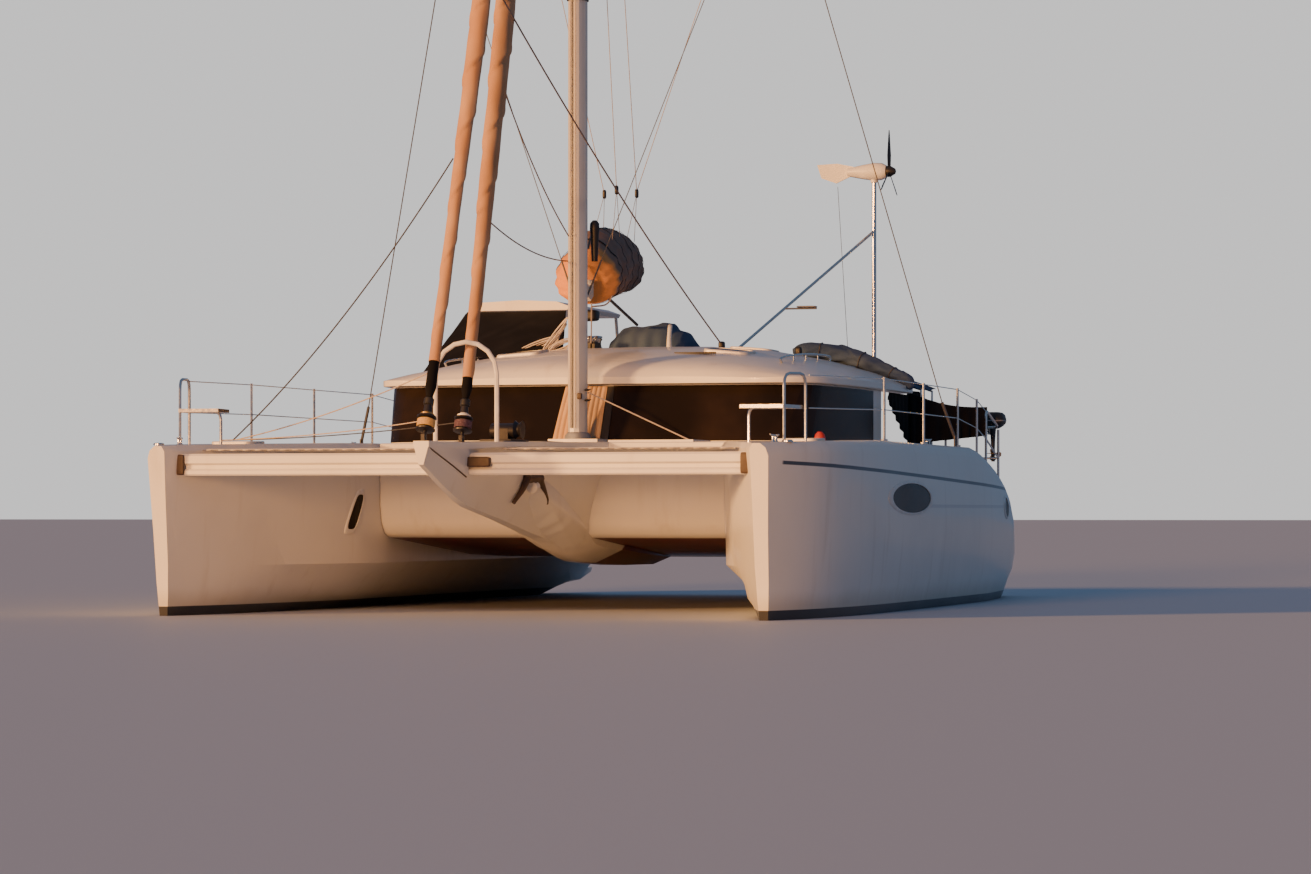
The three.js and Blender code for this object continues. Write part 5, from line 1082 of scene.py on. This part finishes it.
# Windows let into the hull sides
def porthole(name, centre, up_axis, direction, half_width, half_height, power=1.0):
    """Rounded pane in a raised rim, laid on the hull's side by rays; power below 1 squares the corners."""
    up_axis = np.array(up_axis)
    direction = np.array(direction)

    def ring(scale, lift):
        """Outline of the window at a scale, laid on the hull and lifted off it."""
        points = []
        for angle in circle(56):
            along = signed_power(math.cos(angle), power) * scale * half_width
            up = signed_power(math.sin(angle), power) * scale * half_height
            start = centre + np.array([0, along, 0]) + up_axis * up
            place, _ = hit(HULL_TREE, start - direction * 0.6, direction)
            points.append(place - direction * lift)
        return np.array(points)

    margin = 0.022 / min(half_width, half_height)
    rim = [ring(1 + margin, -0.01), ring(1 + margin, 0.004), ring(1 + margin * 0.6, 0.011), ring(1.0, 0.011),
           ring(0.985, -0.01)]
    pane = [ring(1.0, -0.012)] + [ring(scale, 0.004) for scale in (1.0, 0.8, 0.6, 0.4, 0.2, 0.05)]
    rim_shape = sheet_shape(np.stack(rim), wrap_rows=True, wrap_columns=True)
    pane_shape = sheet_shape(np.stack(pane), wrap_columns=True, caps=True)
    on_both_sides(name + "_rim", [rim_shape], WHITE, slot="plastic", sharp=50)
    on_both_sides(name + "_pane", [pane_shape], PANE, slot="glass", sharp=50)


porthole("side_window", at(3.3, 3.75, 1.07), (0, 0, 1), (-1, 0, 0), 0.80, 0.140)
porthole("stern_window", at(3.2, 8.80, 0.99), (0, 0, 1), (-1, 0, 0), 0.17, 0.105)
porthole("inner_window", at(1.84, 2.50, 0.94), (0, 0.43, 0.90), (1, 0, 0), 0.074, 0.185, 0.5)


# Deck fittings
def cleat(base, along):
    """Horn cleat: two legs and a bar whose ends taper upwards."""
    size = 0.20
    along = np.array(along) / np.linalg.norm(along)
    t = np.linspace(-1, 1, 17)
    bar = base + np.outer(t * size / 2, along) + np.outer(0.052 + 0.012 * t**2, [0, 0, 1])
    shapes = [tube(bar, 0.013 - 0.008 * np.abs(t) ** 1.5, 10)]
    for step in (-0.18, 0.18):
        foot = base + along * size * step
        leg = [foot + [0, 0, height] for height in (-0.004, 0.02, 0.05)]
        shapes.append(tube(leg, [0.020, 0.012, 0.012], 12))
    shapes.append(turned([(0.032, -0.004), (0.032, 0.004), (0.024, 0.007)], base, (0, 0, 1), 20))
    return shapes


WINCH = np.array([  # radius, height: base flange, waisted drum, self-tailing jaw, socket
    (0.075, 0), (0.075, 0.018), (0.055, 0.030), (0.048, 0.060), (0.050, 0.095), (0.062, 0.108),
    (0.062, 0.118), (0.052, 0.124), (0.064, 0.132), (0.060, 0.146), (0.024, 0.152), (0.014, 0.146),
])


def on_deck(x, distance, lift=0.0):
    """Point on the port deck."""
    return at(x, distance, deck_height(x, distance) + lift)


cleats = []
for x, distance in ((2.80, 0.55), (3.05, 5.7), (3.02, 8.95)):
    cleats += cleat(on_deck(x, distance), (0.15, 1, 0))
on_both_sides("cleats", cleats, STEEL, slot="steel")
fairlead = [(0.05, 0), (0.05, 0.012), (0.036, 0.02), (0.02, 0.02)]
on_both_sides("bow_fairlead", [turned(fairlead, on_deck(2.95, 0.42), (0, 0, 1), 20)], STEEL, slot="steel")


HATCH_FRAME = ((1.0, -0.01), (1.0, 0.016), (0.97, 0.024), (0.88, 0.024), (0.87, 0.012))  # scale, lift
HATCH_LID = ((0.88, -0.005), (0.88, 0.018), (0.6, 0.02), (0.3, 0.02), (0.05, 0.02))
DECK_HATCHES = ((2.72, 1.75, 0.42), (2.72, 4.2, 0.50), (2.72, 7.3, 0.42))  # across, distance aft, size
ROOF_HATCHES = ((1.10, 5.35, 0.46), (-1.05, 5.25, 0.46), (0.95, 6.9, 0.46))


def hatch_parts(rings, surface, places):
    """Frames or lids of hatches: rings with rounded corners that follow the surface below."""
    angle = circle(48)
    corners = np.column_stack([signed_power(np.cos(angle), 0.35), signed_power(np.sin(angle), 0.35)])
    shapes = []
    for x, distance, size in places:
        points = []
        for scale, lift in rings:
            outline = corners * size / 2 * scale
            points.append([surface(x + across, distance + back, lift) for across, back in outline])
        shapes.append(sheet_shape(np.array(points), wrap_columns=True, caps=True))
    return shapes


frames = hatch_parts(HATCH_FRAME, on_deck, DECK_HATCHES)
on_both_sides("deck_hatch_frames", frames, SPAR, slot="aluminium", sharp=35)
on_both_sides("deck_hatch_lids", hatch_parts(HATCH_LID, on_deck, DECK_HATCHES), PANE, slot="glass", sharp=35)
frames = hatch_parts(HATCH_FRAME, on_roof, ROOF_HATCHES)
piece("roof_hatch_frames", frames, SPAR, slot="aluminium", sharp=35)
piece("roof_hatch_lids", hatch_parts(HATCH_LID, on_roof, ROOF_HATCHES), PANE, slot="glass", sharp=35)

# Grab rails, winches and rope clutches on the roof
GRAB_RAIL = ((4.9, 0.0), (4.94, 0.055), (5.9, 0.06), (6.86, 0.055), (6.9, 0.0))  # distance aft, lift
rails = []
for x in (1.75, -1.75):
    path = smooth_path([on_roof(x, *place) for place in GRAB_RAIL], 60)
    rails.append(tube(path, 0.012, 10))
    for distance in (5.4, 5.9, 6.4):
        rails.append(straight(on_roof(x, distance), on_roof(x, distance, 0.058), 0.010, 8))
piece("roof_grab_rails", rails, STEEL, slot="steel")
winches = []
for distance, size in ((6.72, 1.0), (6.45, 0.9)):
    winches.append(turned(WINCH * size, on_roof(-0.72, distance), (0, 0, 1), 32))
piece("roof_winches", winches, STEEL, slot="steel", sharp=45)
clutches = []
for half, start, end, low, high in ((0.018, 6.02, 6.22, 0.001, 0.055), (0.010, 6.04, 6.16, 0.056, 0.072)):
    for k in range(5):
        x = -0.72 + 0.045 * k
        clutches.append(slab(on_roof(x - half, start, low), on_roof(x + half, end, high)))
piece("rope_clutches", clutches, BLACK, slot="plastic", round_by=0.006)


# Running rigging
def stay_point(tack, head, z, x=0.0):
    """Point beside a stay at a height."""
    share = (z - tack[2]) / (head[2] - tack[2])
    return between(tack, head, share) + [x, 0, 0]


OUTER = STAYS["outer"][:2]
INNER = STAYS["inner"][:2]
SHEET_BLOCK = at(0.565, 7.0, 2.69)
LINES = [  # name, start, end, sag, radius, material
    ("outer_sheet", stay_point(*OUTER, 4.07, -0.075), at(-2.87, 2.0, 1.625), 0.16, 0.007, DARK_ROPE),
    ("outer_tail", stay_point(*OUTER, 2.14, -0.05), at(-2.84, 2.02, 1.625), 0.05, 0.006, PALE_ROPE),
    ("outer_sheet_port", stay_point(*OUTER, 5.75, 0.06), SHEET_BLOCK, 0.12, 0.008, DULL_ROPE),
    ("inner_sheet", stay_point(*INNER, 4.86, 0.03), at(-0.05, 3.62, 3.61), 0.10, 0.0065, DULL_ROPE),
    ("mast_line", at(0.088, 3.81, 2.10), at(1.14, 3.93, 1.606), 0.0, 0.007, PALE_ROPE),
    ("turbine_lanyard", at(1.12, 9.88, 4.56), at(1.45, 9.02, 2.545), 0.0, 0.003, DARK_ROPE),
    ("furling_line_outer", at(-0.07, -0.62, 1.72), at(-2.60, 1.02, 1.60), 0.03, 0.005, PALE_ROPE),
    ("furling_line_inner", at(-0.07, 0.36, 1.73), at(-2.62, 1.12, 1.60), 0.03, 0.005, DARK_ROPE),
]
for name, start, end, sag, radius, material in LINES:
    piece(name, tube(hanging(start, end, sag, 40), radius, 8), material, slot="sail_cover")

# Ropes between the boat and the boom: clew line, gooseneck line and the sheet's tackle under the bag
LINKS = [  # name, end on the boat, end on the boom, sag, radius, material
    ("inner_sheet_starboard", stay_point(*INNER, 3.62, -0.02), at(-0.20, 4.12, 3.40), 0.10, 0.0065,
     DULL_ROPE),
    ("gooseneck_line", at(-0.62, 6.20, 2.66), at(0.06, 4.02, 2.975), 0.02, 0.007, PALE_ROPE),
    ("sheet_tackle", at(-0.30, 6.80, 2.90), on_boom(1.55, 0.10, -0.13), 0.0, 0.016, DARK_ROPE),
]
for name, start, end, sag, radius, material in LINKS:
    link = piece(name, tube(hanging(start, end, sag, 30), radius, 8), material, None, slot="sail_cover")
    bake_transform(link)

# Spreader wires on both sides, from the lower mast over the tips to the upper mast
MAST_AFT = 3.76
TIPS = [(1.36, MAST_AFT + 0.466, 6.447), (1.12, MAST_AFT + 0.39, 10.639)]
TIP_CAP = [(0.012, -0.03), (0.026, -0.015), (0.026, 0.015), (0.012, 0.03)]
wires = []
for side in (1, -1):
    tips = [at(side * x, distance, z) for x, distance, z in TIPS]
    route = [at(side * 0.075, 3.84, 3.05), *tips, at(side * 0.07, 3.80, 14.20)]
    for start, end in zip(route[:-1], route[1:]):
        wires.append(straight(start, end, 0.0045))
    wires.append(straight(route[0], between(route[0], route[1], 0.10), 0.009, 8))
    wires += [turned(TIP_CAP, tip, (0, 0, 1), 14) for tip in tips]
piece("spreader_wires", wires, WIRE, slot="steel")

# Lazyjacks: they hang from the port and starboard spreaders and fan out to the bag
BLOCK_HALF = [0.016, 0.028, 0.045]
jacks = []
blocks = []
fans = []
for side in (1, -1):
    near_block = at(side * 0.17, 4.50, 4.12)
    far_block = at(side * 0.17, 5.20, 4.14)
    jacks.append(straight(at(side * 0.20, 3.99, 6.43), near_block, 0.004))
    jacks.append(straight(at(side * 0.36, 4.04, 6.43), far_block, 0.004))
    for block in (near_block, far_block):
        blocks.append(soft_box(block - BLOCK_HALF, block + BLOCK_HALF, 4, 12, 20))
    for block, u in ((near_block, 0.9), (near_block, 1.9), (far_block, 2.9), (far_block, 4.0)):
        half, _, high = bag_section(u)
        fans.append((block, on_boom(u, side * half * 0.62, high * 0.86)))
jacks.append(straight(at(1.30, 4.20, 6.44), at(0.17, 5.20, 4.16), 0.004))
piece("lazyjacks", jacks, PALE_ROPE, slot="sail_cover")
piece("lazyjack_blocks", blocks, BLACK, slot="plastic")
for i, (start, foot) in enumerate(fans):
    leg = piece(f"lazyjack_leg_{i}", tube(np.linspace(start, foot, 8), 0.003, 6), PALE_ROPE, None,
                slot="sail_cover")
    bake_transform(leg)

# Zip line along the top of the bag and the rope round its front end
u = np.linspace(0.3, 4.6, 60)
piece("bag_zip", tube(on_boom(u, 0.0, bag_section(u)[2] + 0.004), 0.012, 6), BLACK, "boom_and_bag",
      slot="dark_canvas")
path = smooth_path([
    on_boom(0.26, 0.10, 0.36), on_boom(0.22, 0.20, 0.22), on_boom(0.21, 0.26, 0.05),
    on_boom(0.24, 0.20, -0.13), on_boom(0.22, 0.04, -0.165),
], 40)
piece("bag_rope", tube(path, 0.008, 8), PALE_ROPE, "boom_and_bag", slot="sail_cover")


# Mast gear: collar, boot, cleats, halyards, a black block behind the gooseneck whose black is painted shade
# on the shadowed track and sail stack there, masthead instruments
def mast_band(levels):
    """Ring round the mast, given as heights with how far it stands off there."""
    angle = circle(40)
    rings = []
    for z, off in levels:
        y = aft(MAST_AFT) + (0.128 + off) * np.sin(angle)
        rings.append(np.column_stack([(0.092 + off) * np.cos(angle), y, np.full(40, z)]))
    return sheet_shape(np.stack(rings), wrap_rows=True, wrap_columns=True)


collar = [(5.90, -0.02), (5.90, 0.012), (6.02, 0.012), (6.02, -0.02)]
piece("mast_collar", mast_band(collar), BLACK, slot="plastic")
boot = [(1.640, -0.02), (1.640, 0.035), (1.68, 0.030), (1.71, 0.006), (1.72, -0.02)]
piece("mast_boot", mast_band(boot), GREY, slot="plastic")
HALYARDS = ((-112, 6.3), (-98, 17.2), (-80, 17.2), (70, 17.2), (86, 12.2), (104, 17.2))  # degrees, top
halyards = []
for degrees, top in HALYARDS:
    x = 0.100 * math.cos(math.radians(degrees))
    y = aft(MAST_AFT) + 0.137 * math.sin(math.radians(degrees))
    halyards.append(tube([(x, y, z) for z in (1.75, 2.4, 4.0, top)], 0.0055, 6))
piece("halyards", halyards[::2], PALE_ROPE, slot="sail_cover")
piece("halyards_dark", halyards[1::2], DARK_ROPE, slot="sail_cover")
horns = []
for z in (2.02, 2.12):
    horns.append(tube([at(0.088, 3.70, z), at(0.125, 3.70, z)], 0.010, 8))
    bar = [at(0.125, 3.62, z + 0.01), at(0.125, 3.70, z), at(0.125, 3.78, z + 0.01)]
    horns.append(tube(bar, [0.005, 0.010, 0.005], 8))
piece("mast_cleats", horns, BLACK, slot="plastic")
tag = soft_box(at(0.030, 3.632, 2.03), at(0.075, 3.66, 2.09), 6, 10, 16)
piece("mast_tag", tag, ROLLER_BROWN, slot="plastic")
# Black block for the track and sail stack behind the mast at the gooseneck, which lie in shadow: its black
# is painted shade.
shaded_stack_profile = [(0.030, 3.38), (0.036, 3.50), (0.040, 3.62), (0.048, 3.70), (0.045, 3.75), (0.020, 3.78)]
piece("gooseneck_shade_block", turned(shaded_stack_profile, at(0.118, 3.93, 0), (0, 0, 1), 24), BLACK, slot="plastic")
lamp_cap = [(0.028, 0), (0.030, 0.05), (0.018, 0.075), (0.004, 0.08)]
vane_arm = [at(0, MAST_AFT - 0.16, 17.50), at(0, MAST_AFT - 0.16, 17.62), at(0, MAST_AFT - 0.42, 17.64)]
masthead = [
    tube([at(0.02, MAST_AFT + 0.2, 17.50), at(0.02, MAST_AFT + 0.2, 17.80)], [0.006, 0.002], 6),
    turned(lamp_cap, at(-0.01, MAST_AFT - 0.05, 17.51), (0, 0, 1), 16),
    tube(vane_arm, 0.004, 6),
]
piece("masthead_gear", masthead, BLACK, slot="plastic")

# Furler drums: rope wound between the flanges in two layers, a bright disc on the inner one
DRUM_TURNS = 12
DRUM_CAP = [(0.036, 0.232), (0.060, 0.236), (0.062, 0.250), (0.040, 0.262), (0.036, 0.27)]
TACK_SWIVEL = [(0.032, 0.33), (0.045, 0.34), (0.045, 0.39), (0.034, 0.40)]
FURLERS = [("outer", *OUTER, GOLD_ROPE, BRONZE), ("inner", *INNER, PLUM_ROPE, WHITE)]
for name, tack, head, wound, cap in FURLERS:
    axis = (head - tack) / np.linalg.norm(head - tack)
    first = np.array([1.0, 0, 0])
    second = np.cross(axis, first)
    t = np.linspace(0, 1, 220)[:, None]
    layer = np.where(t < 0.5, 0.0605, 0.0735)
    rise = 0.131 + 0.065 * (1 - np.abs(2 * t - 1))
    angle = t * DRUM_TURNS * 2 * np.pi
    path = tack + rise * axis + layer * (np.cos(angle) * first + np.sin(angle) * second)
    piece("drum_rope_" + name, tube(path, 0.0068, 6), wound, slot="sail_cover")
    piece("drum_cap_" + name, turned(DRUM_CAP, tack, axis, 28), cap, slot="steel")
    piece("tack_swivel_" + name, turned(TACK_SWIVEL, tack, axis, 24), BLACK, slot="plastic")

# Anchor roller on the spine's port face, its two bent cheeks and the roller between them
NACELLE_TREE = surface_of("centre_nacelle")


def off_flank(distance, z, lift):
    """Point that stands off the spine's port face."""
    place, normal = hit(NACELLE_TREE, at(1.5, distance, z), (-1, 0, 0))
    return place + normal * lift


cheeks = []
for start, end in ((1.46, 1.30), (1.70, 1.98)):
    path = []
    for t in np.linspace(0, 1, 14):
        path.append(off_flank(between(start, end, t**1.4), 1.245 - 0.215 * t**1.8, 0.030))
    cheeks.append(tube(path, np.linspace(0.042, 0.018, 14), 12))
path = [off_flank(distance, 1.25, 0.030) for distance in np.linspace(1.42, 1.74, 10)]
cheeks.append(tube(path, 0.046, 12))
piece("anchor_roller_cheeks", cheeks, ROLLER_BROWN, slot="steel")
roller = [(0.022, -0.05), (0.052, -0.045), (0.034, -0.012), (0.034, 0.012), (0.052, 0.045), (0.022, 0.05)]
piece("anchor_roller", turned(roller, off_flank(1.58, 1.17, 0.045), (0, 1, 0.08), 24), WHITE, slot="steel")

# Moulded ridge down each flank of the spine, from the anchor roller to its lowest part
RIDGE_FRONT = [  # across, distance aft, height
    (0.20, 1.62, 1.12), (0.18, 1.65, 1.048), (0.126, 1.966, 0.864), (0.075, 2.394, 0.713),
    (0.03, 3.031, 0.576),
]
RIDGE_BACK = [
    (0.26, 1.95, 1.24), (0.286, 2.225, 1.143), (0.327, 2.623, 0.957), (0.33, 3.034, 0.786),
    (0.284, 3.371, 0.612),
]
front, back = [smooth_path([at(*place) for place in edge], 40) for edge in (RIDGE_FRONT, RIDGE_BACK)]
t = np.linspace(0, 1, 40)
fade = np.sin(np.pi * np.clip(t * 0.9 + 0.08, 0, 1)) ** 0.6
rows = []
for share in np.linspace(0, 1, 21):
    lift = 0.060 * (1 - abs(2 * share - 1)) ** 0.85 * fade - 0.005
    row = []
    for place, height in zip(between(front, back, share), lift):
        foot, normal, _, _ = NACELLE_TREE.find_nearest(Vector(place))
        row.append(np.array(foot) + np.array(normal) * height)
    rows.append(row)
rows = np.array(rows)
ridge = sheet_shape(np.concatenate([rows, (rows - [0.03, 0, 0])[::-1]]), wrap_rows=True)
on_both_sides("spine_ridge", [ridge], SPINE, slot="gelcoat", sharp=50)
# Dark brown lines along the prow's upper flanks, from its tip back to the beam.
seam = np.array([at(0.058, -0.755, 1.505), at(0.072, -0.465, 1.423), at(0.087, -0.168, 1.34),
                 at(0.098, 0.149, 1.247)])
prow_lines = [tube(seam, 0.007, 8), tube(seam * [-1, 1, 1], 0.007, 8)]
piece("prow_dark_lines", prow_lines, ROLLER_BROWN, slot="plastic")

# Dark pads on the prow's plank
front = slab(at(-0.30, 0.60, 1.566), at(0.30, 1.12, 1.572))
back = slab(at(-0.28, 1.95, 1.588), at(0.28, 2.5, 1.594))
piece("plank_pads", [front, back], GREY, slot="plastic")

# Windlass drum
gypsy = [(0.03, -0.012), (0.085, -0.010), (0.060, 0.018), (0.060, 0.030), (0.085, 0.058), (0.03, 0.06)]
piece("windlass_gypsy", turned(gypsy, at(0.12, 1.50, 1.69), (1, 0, 0), 28), DRUM, slot="steel", sharp=40)

# Crossbeam: dark fittings at its ends and a dark block on its face to port of the prow
ends = []
for side in (1, -1):
    x = side * 2.63
    ends.append(soft_box(at(x - 0.035, 0.150, 1.27), at(x + 0.035, 0.190, 1.455), 7, 12, 20))
piece("beam_fittings", ends, ROLLER_BROWN, slot="steel")
# Dark brown block on the beam's front face, just to port of the prow.
dark_block = soft_box(at(0.10, 0.135, 1.335), at(0.32, 0.182, 1.425), 7, 12, 24)
piece("beam_dark_block", dark_block, ROLLER_BROWN, slot="plastic")

# Helm instruments, gauges, throttle and wheel rim cover
console_face = aft(7.23)
pods = []
for x in (-1.70, -1.40):
    pods.append(soft_box((x, console_face - 0.02, 2.02), (x + 0.25, console_face + 0.012, 2.13), 8, 14, 28))
piece("instrument_frames", pods, BLACK, slot="plastic")
screens = []
for x in (-1.68, -1.38):
    screens.append(slab((x, console_face + 0.012, 2.035), (x + 0.21, console_face + 0.0145, 2.115)))
piece("instrument_screens", screens, PANE, slot="glass")
gauge = [(0.038, 0), (0.038, 0.012), (0.030, 0.015), (0.002, 0.012)]
gauges = [turned(gauge, (x, console_face - 0.001, 1.90), (0, 1, 0), 28) for x in (-1.66, -1.20)]
piece("gauges", gauges, GREY, slot="plastic")
levers = []
for step in (0.0, 0.05):
    base = np.array([-1.14 + step * 0.4, console_face + 0.02, 1.82 + step])
    path = [base - [0, 0.03, 0], base + [0, 0.03, 0], base + [0, 0.10, 0.06]]
    levers.append(tube(path, [0.018, 0.012, 0.010], 10))
piece("throttle", levers, BLACK, slot="plastic")
angle = np.linspace(0, 2 * np.pi, 97)
rim = np.column_stack([-1.43 + 0.35 * np.cos(angle), np.full(97, aft(7.325)), 1.96 + 0.35 * np.sin(angle)])
piece("wheel_cover", tube(rim, 0.0185 + 0.0012 * np.sin(angle * 60), 10), BLACK, "wheel", slot="plastic")

# Roof fittings: sheet block, knob, dark box, hood post, aerial arm on the strut, strip of track
knob = on_roof(1.35, 7.0, 0)
fittings = [
    soft_box(SHEET_BLOCK - [0.03, 0.05, 0.045], SHEET_BLOCK + [0.03, 0.05, 0.035], 4, 12, 20),
    soft_box(knob - [0, 0, 0.01], knob + [0.07, 0.07, 0.09], 3, 12, 20),
    soft_box(at(-1.02, 6.90, 2.955), at(-0.79, 7.10, 3.075), 5, 12, 20),
]
piece("roof_fittings", fittings, BLACK, slot="plastic")
post = [on_roof(0.09, 6.66, -0.01), on_roof(0.09, 6.66, 0.10), on_roof(0.09, 6.70, 0.24)]
piece("hood_post", tube(post, [0.030, 0.024, 0.024], 14), WHITE, slot="plastic")
arm_root = between(at(0.45, 7.94, 2.65), at(1.53, 9.9, 4.06), 0.35)
arm = [
    straight(arm_root, arm_root + [0.36, 0, 0], 0.010, 8),
    soft_box(arm_root + [0.14, -0.05, 0.008], arm_root + [0.36, 0.05, 0.028], 5, 10, 24),
]
piece("aerial_arm", arm, GREY, slot="plastic")
track = on_roof(0.66, 4.86, 0)
piece("track_strip", slab(track - [0, 0, 0.004], track + [0.42, 0.04, 0.016]), BLACK, slot="plastic")


# Hanks of rope heaped along the foot of the helm windscreen
def hank(low, high, half_height, turns, thick, seed):
    """Long loops between two places on the roof: an ellipse walked round, each lap a little off the last."""
    random = np.random.default_rng(seed)
    angle = np.linspace(np.pi, (turns * 2 + 1) * np.pi, turns * 30)
    phase = random.uniform(0, 6.28, 4)
    long_side = 0.5 * (high - low)
    wobble = 1 + 0.10 * np.sin(angle * 0.37 + phase[0]) + 0.05 * np.sin(angle * 1.7 + phase[1])
    path = low + long_side + np.outer(np.cos(angle) * wobble, long_side)
    path[:, 1] += 0.030 * np.sin(angle * 0.61 + phase[2])
    path[:, 2] += half_height * np.sin(angle) * wobble + 0.02 * np.sin(angle * 0.23 + phase[3])
    path[:, 2] = np.maximum(path[:, 2], roof_top(path[:, 0], path[:, 1] + ORIGIN_AFT) + thick / 2)
    return path


ROPE_THICK = 0.012
HANKS = [  # two places on the roof, half height, turns
    ((-1.46, 6.20, 0.01), (-1.04, 6.36, 0.13), 0.035, 5),
    ((-1.16, 6.24, 0.01), (-0.94, 6.38, 0.30), 0.030, 4),
    ((-1.06, 6.18, 0.01), (-0.84, 6.30, 0.09), 0.040, 5),
]
for i, (low, high, half_height, turns) in enumerate(HANKS):
    path = hank(on_roof(*low), on_roof(*high), half_height, turns, ROPE_THICK, 60 + i)
    path = np.vstack([on_roof(low[0] - 0.03, low[1], 0.007), path])
    loops = piece(f"rope_hank_{i}", tube(path, ROPE_THICK / 2, 6), WHITE_ROPE, slot="sail_cover")

# Red cap on the port foredeck
cap = [(0.055, -0.01), (0.060, 0.02), (0.045, 0.075), (0.020, 0.10)]
piece("deck_cap", turned(cap, on_deck(2.47, 3.55), (0, 0, 1), 24), RED, slot="plastic")

# Stage: floor at the waterline, two warm low lamps, cool light all round and a pale backdrop
floor_mesh = bpy.data.meshes.new("floor")
corners = [(-260, -90, 0), (260, -90, 0), (260, 420, 0), (-260, 420, 0)]
floor_mesh.from_pydata(corners, [], [(0, 1, 2, 3)])
floor = bpy.data.objects.new("floor", floor_mesh)
bpy.context.scene.collection.objects.link(floor)
floor_mesh.materials.append(Finish("floor", (0.50, 0.55, 0.62), 0.6).material)

world = bpy.data.worlds.new("studio")
world.use_nodes = True
nodes = world.node_tree.nodes
links = world.node_tree.links
around = nodes["Background"]
backdrop = nodes.new("ShaderNodeBackground")
around.inputs["Color"].default_value = (0.42, 0.62, 0.98, 1)
around.inputs["Strength"].default_value = 0.26
backdrop.inputs["Color"].default_value = (0.80, 0.79, 0.79, 1)
backdrop.inputs["Strength"].default_value = 1.05
path_kind = nodes.new("ShaderNodeLightPath")
either = nodes.new("ShaderNodeMixShader")
links.new(path_kind.outputs["Is Camera Ray"], either.inputs["Fac"])
links.new(around.outputs[0], either.inputs[1])
links.new(backdrop.outputs[0], either.inputs[2])
links.new(either.outputs[0], nodes["World Output"].inputs["Surface"])
bpy.context.scene.world = world


def lamp(name, direction, strength, colour, softness):
    """Distant lamp shining along a direction; softness is its width in degrees."""
    data = bpy.data.lights.new(name, "SUN")
    data.energy = strength
    data.color = colour
    data.angle = math.radians(softness)
    obj = bpy.data.objects.new(name, data)
    obj.rotation_euler = Vector(direction).to_track_quat("-Z", "Y").to_euler()
    bpy.context.scene.collection.objects.link(obj)


lamp("key", (0.68, 0.72, -0.16), 5.2, (1.0, 0.48, 0.15), 6)
lamp("fill", (0.10, 0.99, -0.10), 3.0, (1.0, 0.44, 0.13), 12)
